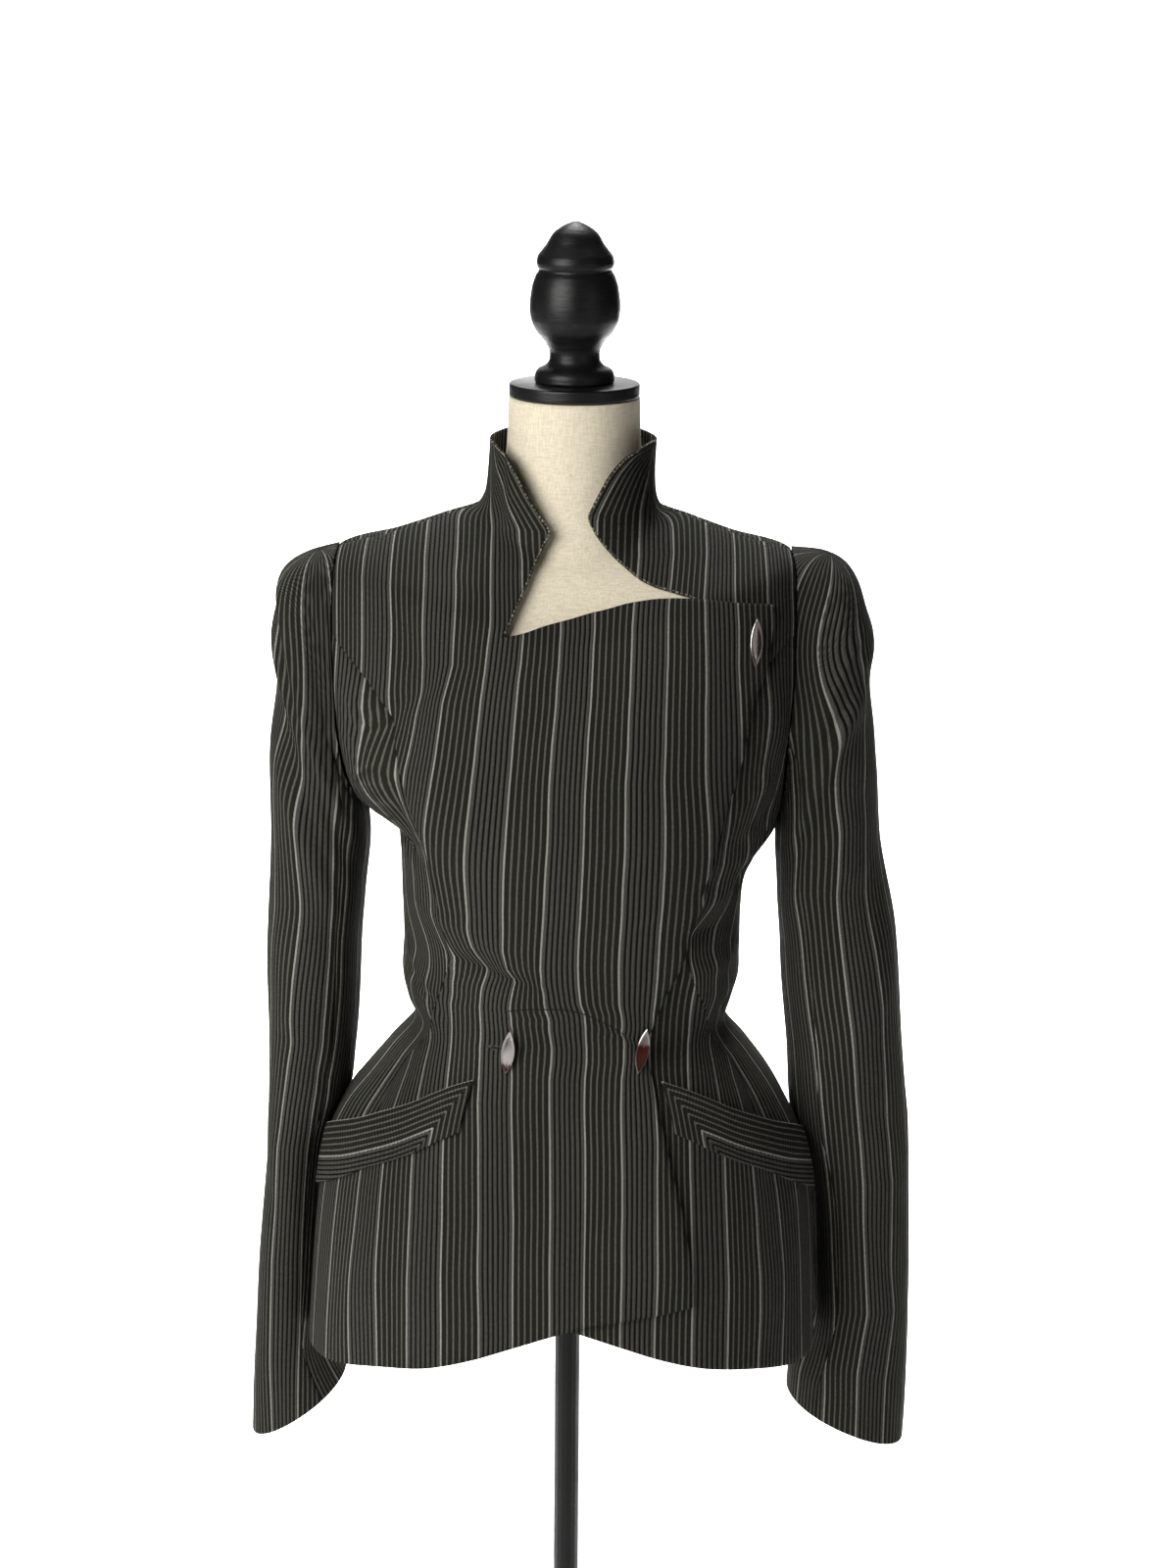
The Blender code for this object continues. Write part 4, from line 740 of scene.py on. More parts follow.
def princess(side):
    """The curved seam from the pocket up to the armhole."""
    lines = FRONTS[side]
    top = (float(armhole_angle(side, lines["princess_top"], False)), lines["princess_top"])
    low = PRINCESS_LOW[-1][0], cut_level(PRINCESS_LOW[-1][0])
    points = (top,) + lines["princess"] + PRINCESS_LOW + (low,)
    return rising(points[::-1], np.linspace(low[1], top[1], BODY_ROWS + 1))


def side_seams(side):
    """The side seam in two stretches, below and above the pocket, from the hem to the armhole."""
    split = cut_level(90)
    upper = like(princess(side)[:, 1], split, ARMHOLE_LEVELS[side][0])
    lower = np.linspace(HEM[0][1], split, SKIRT_ROWS + 1)
    return tuple(np.stack([np.full(len(levels), 90.0), levels], -1) for levels in (lower, upper))


def front_lift(side):
    """The overlapping front lies further out past the princess seam; the underlap does not."""
    if side == "left":
        return None
    return lambda angle, places: lap(angle)


def sleeve_crease(side, ring, share):
    """Waves and creases of the sleeve, in millimetres: soft bumps over ring and share."""
    out = np.zeros(np.shape(ring))
    for height, place, length, turn, reach, skew in SLEEVE_WAVES + SLEEVE_CREASES[side]:
        away = (share - turn + 0.5) % 1 - 0.5
        down = ring - place - skew * away
        out = out + height * bump(down / length, away / reach)
    return out


def body_reach(side, y, z):
    """How far out the cloth of the body comes at this depth and height, up to the armhole seam."""
    front = y < 0
    depth = np.where(front, section["front"](z), section["back"](z))
    power = section["squareness"](z)
    inside = np.clip(1 - np.abs(y / depth) ** power, 0, 1) ** (1 / power)
    wide = section[side](z) + underarm(sign(side) * np.full(np.shape(z), 90.0), z)
    seam = armhole_x(side, z)
    return np.minimum(wide * inside, seam)


def sleeve_surface(side, ring, share):
    """Point of a sleeve. Share goes once round from the top or outer end by the front."""
    table = named_columns(SLEEVE_COLUMNS, SLEEVES[side])
    number = np.arange(len(table["inner"]))
    at = {name: curve(number, values)(ring) for name, values in table.items()}
    bottom, top = ARMHOLE_LEVELS[side]
    front = armhole_line(side, bottom, top, False, EDGE_STEPS)[::-1]
    back = armhole_line(side, bottom, top, True, EDGE_STEPS)
    hole = joined(front, back)
    loop = body(sign(side) * hole[:, 0], hole[:, 1]) / MM
    run = run_of(loop)
    run = run / run[-1]
    height = loop[:, 2]
    loop_up = np.interp(share, run, (height - height.min()) / (height.max() - height.min()))
    loop_y = np.interp(share, run, loop[:, 1])
    turn = 2 * pi * share
    power = 2 / SLEEVE_SQUARENESS
    oval_up = 0.5 + 0.5 * np.sign(np.cos(turn)) * np.abs(np.cos(turn)) ** power
    oval_y = -at["depth"] * np.sign(np.sin(turn)) * np.abs(np.sin(turn)) ** power + at["middle"]
    own = ease(ring, 0, HEAD_RINGS)
    up = loop_up * (1 - own) + oval_up * own
    y = loop_y * (1 - own) + oval_y * own
    x = at["inner"] + (at["outer"] - at["inner"]) * up
    z = at["inner_z"] + (at["outer_z"] - at["inner_z"]) * up
    lean = np.abs(outward(sign(side) * hole[:, 0], hole[:, 1])[:, 0])
    lean = np.interp(share, run, lean)
    below = ease(1 - up, *UNDERARM_SHARE)
    gap = (SEAM_GAP + CLOTH * lean * (1 + below) + ARMPIT_GAP * below) / MM
    first_z = table["inner_z"][0] + (table["outer_z"][0] - table["inner_z"][0]) * loop_up
    first_x = table["inner"][0] + (table["outer"][0] - table["inner"][0]) * loop_up
    x = x + (armhole_x(side, first_z) + gap - first_x) * (1 - own)
    clear = gap + CLEAR_OF_HIP * ease(-z, -HIP_HEIGHT[0], -HIP_HEIGHT[1])
    x = np.maximum(x, body_reach(side, y, z) + clear)
    return np.stack([sign(side) * x, y, z], -1) * MM


# Surfaces and walls

# From here on the cloth has its creases too. The armholes' ends above are those of the solids.
folds = FOLDS + CREASES


def mesh_object(name, points, faces, material):
    """A smooth-shaded object from an array of points and an array of faces of one size."""
    mesh = bpy.data.meshes.new(name)
    faces = np.asarray(faces, np.int32)
    mesh.vertices.add(len(points))
    mesh.vertices.foreach_set("co", np.asarray(points, np.float32).ravel())
    mesh.loops.add(faces.size)
    mesh.loops.foreach_set("vertex_index", faces.ravel())
    mesh.polygons.add(len(faces))
    size = faces.shape[1]
    mesh.polygons.foreach_set("loop_start", np.arange(len(faces), dtype=np.int32) * size)
    mesh.polygons.foreach_set("loop_total", np.full(len(faces), size, np.int32))
    mesh.update(calc_edges=True)
    mesh.validate()
    mesh.shade_smooth()
    mesh.materials.append(material)
    piece = bpy.data.objects.new(name, mesh)
    bpy.context.collection.objects.link(piece)
    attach(piece, "root")
    return piece


def set_uv(piece, uv):
    """The piece's UV map from one pair for each point."""
    mesh = piece.data
    corner = np.empty(len(mesh.loops), np.int32)
    mesh.loops.foreach_get("vertex_index", corner)
    layer = mesh.uv_layers.new(name="cloth")
    layer.data.foreach_set("uv", np.asarray(uv, np.float32)[corner].ravel())


def grid_quads(index):
    """The quads of a grid of point numbers."""
    corners = index[:-1, :-1], index[:-1, 1:], index[1:, 1:], index[1:, :-1]
    return np.stack(corners, -1).reshape(-1, 4)


def tube_faces(number, around):
    """Triangles of a closed tube of rings, whose ends are fans to the two points after the rings."""
    index = np.arange(number * around).reshape(number, around)
    index = np.concatenate([index, index[:, :1]], axis=1)
    sides = grid_quads(index)
    low = np.full(around, number * around)
    return np.concatenate([sides[:, [0, 1, 2]], sides[:, [0, 2, 3]],
                           np.stack([low, index[0, 1:], index[0, :-1]], -1),
                           np.stack([low + 1, index[-1, :-1], index[-1, 1:]], -1)])


def merged(grids):
    """Grids of (angle, level) as one list of places and one of quads, shared points once."""
    places = np.concatenate([grid.reshape(-1, 2) for grid in grids])
    key = np.round(places * KEY_STEPS + KEY_OFFSET).astype(np.int64)
    _, first, index = np.unique(key, axis=0, return_index=True, return_inverse=True)
    index = index.reshape(-1)
    quads = []
    start = 0
    for grid in grids:
        rows, columns = grid.shape[:2]
        ids = index[start:start + rows * columns].reshape(rows, columns)
        start += rows * columns
        quads.append(grid_quads(ids))
    return places[first], np.concatenate(quads)


def rim_edges(quads):
    """The edges that only one quad has, as pairs in that quad's direction."""
    edges = np.concatenate([quads[:, [k, (k + 1) % 4]] for k in range(4)])
    low, high = edges.min(1), edges.max(1)
    _, index, count = np.unique(np.stack([low, high], -1), axis=0, return_inverse=True,
                                return_counts=True)
    return edges[(count[index.reshape(-1)] == 1) & (low != high)]


def wall(name, points, normals, quads, thickness, uv):
    """A closed wall: the sheet drawn in at its rim by half the seam gap, a second sheet further out
    along the normals by the thickness, and between the two rims a rounded middle line that stands
    out a little from them."""
    probe = quads[len(quads) // 2]
    facing = np.cross(points[probe[1]] - points[probe[0]], points[probe[3]] - points[probe[0]])
    if facing @ normals[probe[0]] < 0:
        quads = quads[:, ::-1]
    edges = rim_edges(quads)
    along = points[edges[:, 1]] - points[edges[:, 0]]
    way = np.zeros_like(points)
    for end in (0, 1):
        side = np.cross(normals[edges[:, end]], along)
        side /= np.maximum(np.linalg.norm(side, axis=1, keepdims=True), 1e-12)
        np.add.at(way, edges[:, end], side)
    share = np.maximum((way ** 2).sum(1, keepdims=True) / 2, LEAST_TURN)
    inward = np.where(np.abs(way).sum(1, keepdims=True) > 0, way / share, 0)
    inner = points + inward * SEAM_GAP / 2
    outer = inner + normals * thickness
    rim = np.unique(edges)
    place = np.full(len(points), -1)
    place[rim] = np.arange(len(rim)) + 2 * len(points)
    middle = (inner[rim] + outer[rim]) / 2 - inward[rim] * ROUND_EDGE
    count = len(points)
    a, b = edges[:, 0], edges[:, 1]
    faces = np.concatenate([quads + count, quads[:, ::-1],
                            np.stack([b + count, a + count, place[a], place[b]], -1),
                            np.stack([place[b], place[a], a, b], -1)])
    piece = mesh_object(name, np.concatenate([inner, outer, middle]), faces, wool)
    set_uv(piece, np.concatenate([uv, uv, uv[rim]]))
    area = np.linalg.norm(np.cross(points[quads[:, 2]] - points[quads[:, 0]],
                                   points[quads[:, 3]] - points[quads[:, 1]]), axis=1).sum() / 2
    return piece, float(area)


def declare(piece, area, uv, node):
    """Hide the solid's part that a wall replaces. The wall's width and length as a sheet of cloth,
    cut to its stripes, are worked out but not used.
    """
    size = uv.max(0) - uv.min(0)
    width, length = (round(float(value), 3) for value in size)
    if width * length < area:
        length = round(area / width * CUT_ROOM, 3)
    if area < LEAST_FILL * width * length:
        width = round(area / length / SURE_FILL, 3)
    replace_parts(piece, node)


# Where the stripes run

turn_table = np.linspace(-180, 180, 1441)   # an angle every quarter of a degree


def arc_table(level, by_x=False):
    """Length round the section at this level from the centre front, by angle or by x."""
    line = body(turn_table, float(level), False)
    length = run_of(line)
    length = length - length[len(length) // 2]
    if not by_x:
        return lambda angle: np.interp(angle, turn_table, length)
    front = np.abs(turn_table) < FRONT_TURN
    along, across = length[front], line[front, 0]
    steep = min(abs((along[1] - along[0]) / (across[1] - across[0])), STEEPEST)

    def at(x):
        """Length round by x; past the front it grows at the steepness reached there."""
        past = np.maximum(np.abs(x) - np.abs(np.where(x < 0, across[0], across[-1])), 0)
        return np.interp(x, across, along) + np.sign(x) * past * steep

    return at


arc_hip = arc_table(REFERENCE["hip"])
arc_chest = arc_table(REFERENCE["chest"])
arc_collar = arc_table(REFERENCE["collar"])
arc_by_x = arc_table(REFERENCE["hip"], True)


def pull(x, z):
    """How far the stripes of the side fronts are drawn aside, in metres: a sum of soft bumps."""
    out = np.zeros(np.shape(x))
    for amount, place_x, place_z, width, height in PULLS:
        out = out + amount * bump((x / MM - place_x) / width, (z / MM - place_z) / height)
    return out * MM


def by_stripes(x, z):
    """Place across the stripes by the measured bright stripes: even between two neighbours, and
    past the last of them on either side by the hip's arc length."""
    rows = np.array(STRIPES) * MM
    lines = [np.interp(z, rows[:, 0], column) for column in rows[:, 1:].T]
    number = FIRST_STRIPE + np.arange(len(lines))
    value = BRIGHT_STRIPE * MM + (number // 2 - 1) * REPEAT + (number % 2) * ZONE_A
    along = arc_by_x(x)
    out = np.where(x < lines[0], value[0] + along - arc_by_x(lines[0]),
                   value[-1] + along - arc_by_x(lines[-1]))
    for k in range(len(lines) - 1):
        share = (x - lines[k]) / (lines[k + 1] - lines[k])
        between = value[k] + share * (value[k + 1] - value[k])
        out = np.where((share >= 0) & (share < 1), between, out)
    return out


def collar_shift(side, x, z):
    """How far the stripes of a collar lean: as far as its front edge has left the plumb line from
    the collar's point, fading with the distance from that edge."""
    edge = np.array(FRONTS[side]["collar"], float)[::-1]
    line = body(sign(side) * edge[:, 0], edge[:, 1], False)
    line = line[np.argsort(line[:, 2])]
    at = np.interp(z, line[:, 2], line[:, 0])
    return (at - line[0, 0]) * (1 - ease(np.abs(x - at), *COLLAR_LEAN))


def front_stripes(angle, level):
    """Place across the stripes on a front. Round the hip's side and the side of the collar it turns
    into the length round the section."""
    point = body(angle, level, False)
    x, z = point[..., 0], point[..., 2]
    x = x - np.where(angle < 0, collar_shift("right", x, z), collar_shift("left", x, z))
    by_x = by_stripes(x, z)
    round_hip = ease(np.abs(angle), *ROUND_HIP["angle"]) * (1 - ease(level, *ROUND_HIP["level"]))
    round_neck = ease(np.abs(angle), *ROUND_NECK["angle"]) * ease(level, *ROUND_NECK["level"])
    return (by_x * (1 - round_hip - round_neck) + arc_hip(angle) * round_hip
            + arc_collar(angle) * round_neck)


def side_stripes(angle, level):
    """Place across the stripes on a side panel: the chest's arc length at the same angle, so the
    stripes draw together at the waist, less the pull."""
    point = body(angle, level, False)
    front = np.cos(np.radians(angle)) > 0
    return arc_chest(angle) - pull(point[..., 0], point[..., 2]) * np.where(front, 1, 0)


def back_stripes(angle, level):
    """Place across the stripes on a back: the hip's arc length from the centre back at the same x,
    turning into the length round the section where the back turns to the side."""
    turned = wrapped(angle)
    by_x = arc_by_x(body(angle, level, False)[..., 0])
    by_arc = arc_chest(np.where(turned < 0, -180, 180)) - arc_chest(turned)
    from_back = 180 - np.abs(turned)
    round_side = ease(from_back, *ROUND_SIDE["angle"]) * (1 - ease(level, *ROUND_SIDE["level"]))
    return by_x * (1 - round_side) + by_arc * round_side


def up_the_cloth(level):
    """Length along the stripes, which over the shoulder grows faster than the level."""
    over = OVER_SHOULDER
    return (level + over["more"] * np.clip(level - over["level"], 0, over["rise"])) * MM


# Jacket


def fine_panel(name, side, grids, stripes, lift=None, thickness=CLOTH):
    """A sewn piece of the body from grids whose angles count towards its side."""
    places, quads = merged(grids)
    angle = sign(side) * places[:, 0]
    level = places[:, 1]
    normals = outward(angle, level)
    points = body(angle, level)
    if lift is not None:
        points = points + normals * lift(angle, places)[:, None]
    uv = np.stack([stripes(angle, level), up_the_cloth(level)], -1)
    declare(*wall(name, points, normals, quads, thickness, uv), uv, name)


def counts(base, way="columns"):
    """Number of quads of the fine panel for a number of quads of the solid."""
    return base * FINER[way]


SKIRT_ROWS = counts(6, "rows")
BODY_ROWS = counts(22, "rows")
SIDE_COLUMNS = counts(3)
POCKET_COLUMNS = counts(5)
FRONT_COLUMNS = counts(8)
ARM_ROWS = counts(5)
SHOULDER_ROWS = counts(5)
COLLAR_ROWS = counts(2)
BACK_COLUMNS = counts(7)
SIDE_BACK_COLUMNS = counts(4)


def fine_fronts():
    """Each front, with its cut-in-one collar, and the side front between it and the side seam."""
    for side in ("right", "left"):
        lines = FRONTS[side]
        skirt_side, body_side = side_seams(side)
        seam = princess(side)
        bottom, top = ARMHOLE_LEVELS[side]
        princess_angle = PRINCESS_LOW[-1][0]
        cut_back = pocket_cut(princess_angle, 90, SIDE_COLUMNS)
        cut_front = pocket_cut(POCKET_START, princess_angle, POCKET_COLUMNS)
        cut = joined(cut_front, cut_back)
        pocket_point = cut[0]
        notch = np.array(lines["neck"][-1], float)
        edge_low = np.linspace(lines["edge"][0][1], POCKET_ROW, SKIRT_ROWS + 1)
        edge_high = like(seam[:, 1], POCKET_ROW, lines["edge"][-1][1])
        free = rising(lines["edge"], np.concatenate([edge_low, edge_high[1:]]))
        hem_back = hem_line(POCKET_START, 90, POCKET_COLUMNS + SIDE_COLUMNS)
        hem_front = hem_line(lines["edge"][0][0], POCKET_START, FRONT_COLUMNS)
        under_pocket = evenly((hem_back[0], pocket_point), SKIRT_ROWS)
        column = rising((tuple(pocket_point),) + lines["column"][1:],
                        like(seam[:, 1], pocket_point[1], notch[1]))
        waist_row = evenly((free[SKIRT_ROWS], pocket_point), FRONT_COLUMNS)
        notch_row = evenly((notch, seam[-1]), POCKET_COLUMNS)
        arm = armhole_line(side, lines["princess_top"], top, False, ARM_ROWS)
        shoulder = evenly(((90, top), (90, COLLAR_SEAM)), SHOULDER_ROWS)
        collar_side = evenly(((90, COLLAR_SEAM), (90, COLLAR_TOP)), COLLAR_ROWS)
        upper = joined(arm, shoulder, collar_side)
        neck = evenly(lines["neck"][::-1], len(upper) - 1)
        collar = evenly((((90, COLLAR_TOP),) + lines["collar"])[::-1], POCKET_COLUMNS)
        crossing = evenly(lines["top"][::-1], FRONT_COLUMNS)
        grids = (
            patch(hem_back, cut, under_pocket, skirt_side),
            patch(hem_front, waist_row, free[:SKIRT_ROWS + 1], under_pocket),
            patch(cut_front, notch_row, column, seam),
            patch(waist_row, crossing, free[SKIRT_ROWS:], column),
            patch(notch_row, collar, neck, upper),
        )
        fine_panel("front_" + side, side, grids, front_stripes, front_lift(side))
        armhole = armhole_line(side, bottom, lines["princess_top"], False, SIDE_COLUMNS)
        side_grid = patch(cut_back, armhole[::-1], seam, body_side)
        fine_panel("side_front_" + side, side, (side_grid,), side_stripes, front_lift(side))


def fine_backs():
    """Back and side back of each side, and the strip of collar round the neck."""
    for side in ("right", "left"):
        bottom, top = ARMHOLE_LEVELS[side]
        side_seam = joined(*side_seams(side))
        rows = side_seam[:, 1]
        seam_top = (float(armhole_angle(side, BACK_SEAM_TOP, True)), BACK_SEAM_TOP)
        seam = rising(BACK_SEAM + (seam_top,), like(rows, BACK_SEAM[0][1], BACK_SEAM_TOP))
        hem_side = evenly(((90, HEM[0][1]), BACK_SEAM[0]), SIDE_BACK_COLUMNS)
        hem_back = evenly((BACK_SEAM[0], (180, BACK_HEM)), BACK_COLUMNS)
        armhole = armhole_line(side, bottom, BACK_SEAM_TOP, True, SIDE_BACK_COLUMNS)
        fine_panel("side_back_" + side, side, (patch(hem_side, armhole, side_seam, seam),),
                   side_stripes)
        centre_low = rising(((180, BACK_HEM), (180, YOKE)), like(rows, BACK_HEM, YOKE))
        yoke = evenly((seam_top, (180, YOKE)), BACK_COLUMNS)
        arm = armhole_line(side, BACK_SEAM_TOP, top, True, ARM_ROWS)
        shoulder = evenly(((90, top), (90, COLLAR_SEAM)), SHOULDER_ROWS)
        centre_high = evenly(((180, YOKE), (180, COLLAR_SEAM)), ARM_ROWS + SHOULDER_ROWS)
        neck = evenly(((90, COLLAR_SEAM), (180, COLLAR_SEAM)), BACK_COLUMNS)
        grids = (patch(hem_back, yoke, seam, centre_low),
                 patch(yoke, neck, joined(arm, shoulder), centre_high))
        fine_panel("back_" + side, side, grids, back_stripes)
    collar_edge = evenly(((90, COLLAR_SEAM), (90, COLLAR_TOP)), COLLAR_ROWS)
    half_turn = np.array([180.0, 0.0])
    low = evenly(((90, COLLAR_SEAM), (270, COLLAR_SEAM)), 2 * BACK_COLUMNS)
    high = evenly(((90, COLLAR_TOP), (270, COLLAR_TOP)), 2 * BACK_COLUMNS)
    fine_panel("collar_back", "left", (patch(low, high, collar_edge, collar_edge + half_turn),),
               lambda angle, level: arc_collar(wrapped(angle)))


def fine_welts():
    """A broad slanted welt over each pocket cut, stripes along it, its upper edge standing away."""
    pocket = named_columns(**POCKET)
    for side in ("right", "left"):
        ends = pocket["angle"][0], pocket["angle"][-1]
        t = np.linspace(0, 1, WELT_COLUMNS + 1)[None, :]
        up = np.linspace(0, 1, WELT_ROWS + 1)[:, None]
        angle = ends[0] + (ends[1] - ends[0]) * t + WELT_SLANT * (1 - up) * (1 - t)
        level = (curve(pocket["angle"], pocket["bottom"])(angle) * (1 - up)
                 + curve(pocket["angle"], pocket["top"])(angle) * up)
        grid = np.stack([angle, level], -1)

        def rise(angle, level):
            """How far up the welt a point lies, as a share, and how tall the welt is there."""
            low = curve(pocket["angle"], pocket["bottom"])(angle)
            high = curve(pocket["angle"], pocket["top"])(angle)
            return (level - low) / (high - low), high - low

        def lift(signed_angle, places):
            """How far out the welt lies: clear of the front, more at the middle of its top."""
            share = (places[:, 0] - ends[0]) / (ends[1] - ends[0])
            up_the_welt = rise(places[:, 0], places[:, 1])[0]
            gape = WELT_GAPE * np.clip(up_the_welt, 0, 1) * np.sin(pi * np.clip(share, 0, 1))
            return CLOTH + WELT_GAP + gape + (lap(signed_angle) if side == "right" else 0)

        def along(signed_angle, level):
            """Stripes run along the welt; in front of the mitre they turn up, as on the front."""
            own = np.abs(signed_angle)
            share, height = rise(own, level)
            across = (1 - share) * height * MM
            from_end = arc_hip(own) - arc_hip(ends[0])
            return np.minimum(across, from_end + WELT_MITRE) + WELT_PHASE

        fine_panel("pocket_welt_" + side, side, (grid,), along, lift, WELT)


def by_bearing(side, points, grain):
    """Place across the stripes by the bearing of a point from the sleeve's axis: the length round
    the steady ring from the grain line to the point of that ring with the same bearing. Beyond the
    first and last axis ring the axis is upright, so stripes fall straight from the shoulder."""
    turn = (grain + np.linspace(-0.5, 0.5, LINE_STEPS)) % 1

    def round_at(ring):
        """The points of one ring of the sleeve, once round from opposite the grain line."""
        return sleeve_surface(side, np.full(LINE_STEPS, float(ring)), turn)

    centres = np.array([round_at(ring)[1:].mean(0) for ring in AXIS_RINGS[::-1]])
    ring = round_at(STEADY_RING)
    middle = LINE_STEPS // 2
    length = run_of(ring)
    length = length - length[middle]

    def bearing(places):
        """Direction from the sleeve's axis to each point, seen from above."""
        x, y = (np.interp(places[..., 2], centres[:, 2], centres[:, axis]) for axis in (0, 1))
        return np.arctan2(places[..., 1] - y, places[..., 0] - x)

    way = bearing(ring)
    start = way[middle]
    way = np.unwrap(way - start)
    way = way - way[middle]
    given = (bearing(points) - start + pi) % (2 * pi) - pi
    if way[-1] < way[0]:
        way, given = -way, -given
    return np.interp(given, way, length)


def sleeve_pull(side, points):
    """How far folds carry the stripes of a sleeve towards +X, as a sum of soft bumps."""
    out = 0
    for pull, x, level, wide, high in SLEEVE_PULLS[side]:
        aside, up = (points[..., 0] / MM - x) / wide, (points[..., 2] / MM - level) / high
        out = out + pull * MM * bump(aside, up)
    return out


def sleeve_normal(side, ring, share):
    """Outward unit normal of a sleeve, from its slopes down and round."""
    last = len(SLEEVES[side]) - 1

    def slope(more_ring, more_share):
        """Way from just before to just after each point, by this much ring and share."""
        ends = [sleeve_surface(side, np.clip(ring + way * more_ring, 0, last),
                               (share + way * more_share) % 1) for way in (1, -1)]
        return ends[0] - ends[1]

    return unit(np.cross(slope(0, SLOPE_STEP), slope(SLOPE_STEP, 0)) * sign(side))


def fine_sleeves():
    """Upper and under sleeve of each side. Across the stripes they go by the bearing from the
    sleeve's axis. Near the cuff that turns into the length round each ring, so that the flare shows
    further stripes. Along the stripes they go by the length down the grain line."""
    for side in ("right", "left"):
        last = len(SLEEVES[side]) - 1
        ring = np.concatenate([np.linspace(0, HEAD_RINGS, HEAD_QUADS + 1)[:-1],
                               np.linspace(HEAD_RINGS, last, ARM_QUADS + 1)])
        for name, start, end, grain, straight in (
                ("upper", UNDER_SLEEVE[1] - 1, UNDER_SLEEVE[0], 0.0, SLEEVE_FRONT),
                ("under", *UNDER_SLEEVE, UNDER_GRAIN, UNDER_GRAIN)):
            columns = round(SLEEVE_QUADS * (end - start))
            share = np.linspace(start + FINE_SEAM, end - FINE_SEAM, columns + 1)
            rings, shares = np.meshgrid(ring, share, indexing="ij")
            normal = sleeve_normal(side, rings, shares)
            plain = sleeve_surface(side, rings, shares % 1)
            points = plain + normal * sleeve_crease(side, rings, shares)[..., None] * MM
            step = np.linalg.norm(np.diff(plain, axis=1), axis=-1)
            length = np.concatenate([np.zeros((len(ring), 1)), np.cumsum(step, axis=1)], axis=1)
            bearing = by_bearing(side, plain, grain)
            steady = int(np.argmin(np.abs(share - straight)))
            own_length = length - length[:, [steady]] + bearing[:, [steady]]
            own = ease(ring, *OWN_LENGTH)[:, None]
            across = (own_length * own + bearing * (1 - own)) * sign(side)
            across = across + SLEEVE_PHASE[side] + sleeve_pull(side, plain)
            centre = int(np.argmin(np.abs(share - grain)))
            down = np.broadcast_to(run_of(points[:, centre])[:, None], across.shape)
            quads = grid_quads(np.arange(across.size).reshape(across.shape))
            uv = np.stack([across, -down], -1).reshape(-1, 2)
            node = name + "_sleeve_" + side
            declare(*wall(node, points.reshape(-1, 3), normal.reshape(-1, 3), quads, CLOTH, uv),
                    uv, node)


def lofted(name, rings, material):
    """A closed solid through rings of equal count, its ends closed by fans to a middle point."""
    rings = np.asarray(rings, float)
    points = np.concatenate([rings.reshape(-1, 3), rings[:1].mean(1), rings[-1:].mean(1)])
    return mesh_object(name, points, tube_faces(*rings.shape[:2]), material)


def fine_buttons():
    """Pointed-oval buttons: rings from the shank out over a bevelled rim to a flat face. The map
    holds the painted reflection of each point, by which the metal is painted dark red or bright."""
    turn = circle(TURNED_STEPS)
    width = BUTTON_WIDTH / 2 * BUTTON_SLIM
    leaf = np.stack([np.cos(turn) * np.abs(np.cos(turn)) ** BUTTON_ENDS * width,
                     np.sin(turn) * BUTTON_LENGTH / 2], -1)
    ring = np.stack([np.cos(turn), np.sin(turn)], -1) * SHANK["radius"]
    for name, angle, level, lean, seat_height in BUTTONS:
        normal = outward(np.array(angle, float), np.array(level, float))
        seat = body(angle, level) + normal * (LAP_LIFT + CLOTH + seat_height * MM)
        up = unit(np.array([0, 0, 1]) - normal * normal[2])
        aside = np.cross(up, normal)
        length_way = up * cos(radians(lean)) + aside * sin(radians(lean))
        width_way = np.cross(length_way, normal)

        def placed(outline, out):
            """An outline on the button's own axes, this far out and a touch twisted."""
            twist = BUTTON_TWIST * outline[:, :1] * outline[:, 1:] / (BUTTON_WIDTH * BUTTON_LENGTH)
            return (seat + normal * (out + twist) + outline[:, :1] * width_way
                    + outline[:, 1:] * length_way)

        # The face and rim are painted dark red or bright by these shares, a painted reflection that
        # changes at a line
        above, below, split = BUTTON_PAINTED_REFLECTION[name]
        rings = [placed(ring, 0), placed(ring, SHANK["height"] - SHANK["step"])]
        painted_reflection = [np.full(TURNED_STEPS, SHANK_PAINTED_REFLECTION)] * 2
        for share, height, shown in FINE_BUTTON:
            rings.append(placed(leaf * share, SHANK["height"] + height * MM))
            painted_bright = np.clip((np.sin(turn) * share - split) / PAINTED_REFLECTION_EDGE + 0.5, 0, 1)
            face = below + (above - below) * painted_bright
            painted_reflection.append(face if shown < 0 else shown * np.maximum(painted_bright, RIM_PAINTED_HIGHLIGHT))
        piece = lofted(name, rings, metal)
        painted_reflection = np.concatenate([np.ravel(painted_reflection), painted_reflection[0][:1], [above if split < 0 else below]])
        set_uv(piece, np.stack([painted_reflection, 0 * painted_reflection], -1))
        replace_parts(piece, name)


def beads(name, centres, along, normals, material, size):
    """Small rounded stitches, or dark marks of painted shade: one at each centre, long along the
    given way and low on the cloth.
    """
    shape = np.array([(place, np.cos(turn) * wide, np.sin(turn) * wide)
                      for place, wide in BEAD_RINGS for turn in circle(BEAD_STEPS)]
                     + [(-BEAD_TIP, 0, 0), (BEAD_TIP, 0, 0)])
    along = unit(along)
    axes = np.stack([along, np.cross(normals, along), normals], 1) * np.array(size)[:, None]
    points = centres[:, None] + np.einsum("pk,nkc->npc", shape, axes)
    faces = tube_faces(len(BEAD_RINGS), BEAD_STEPS)
    faces = faces + len(shape) * np.arange(len(centres))[:, None, None]
    mesh_object(name, points.reshape(-1, 3), faces.reshape(-1, 3), material)


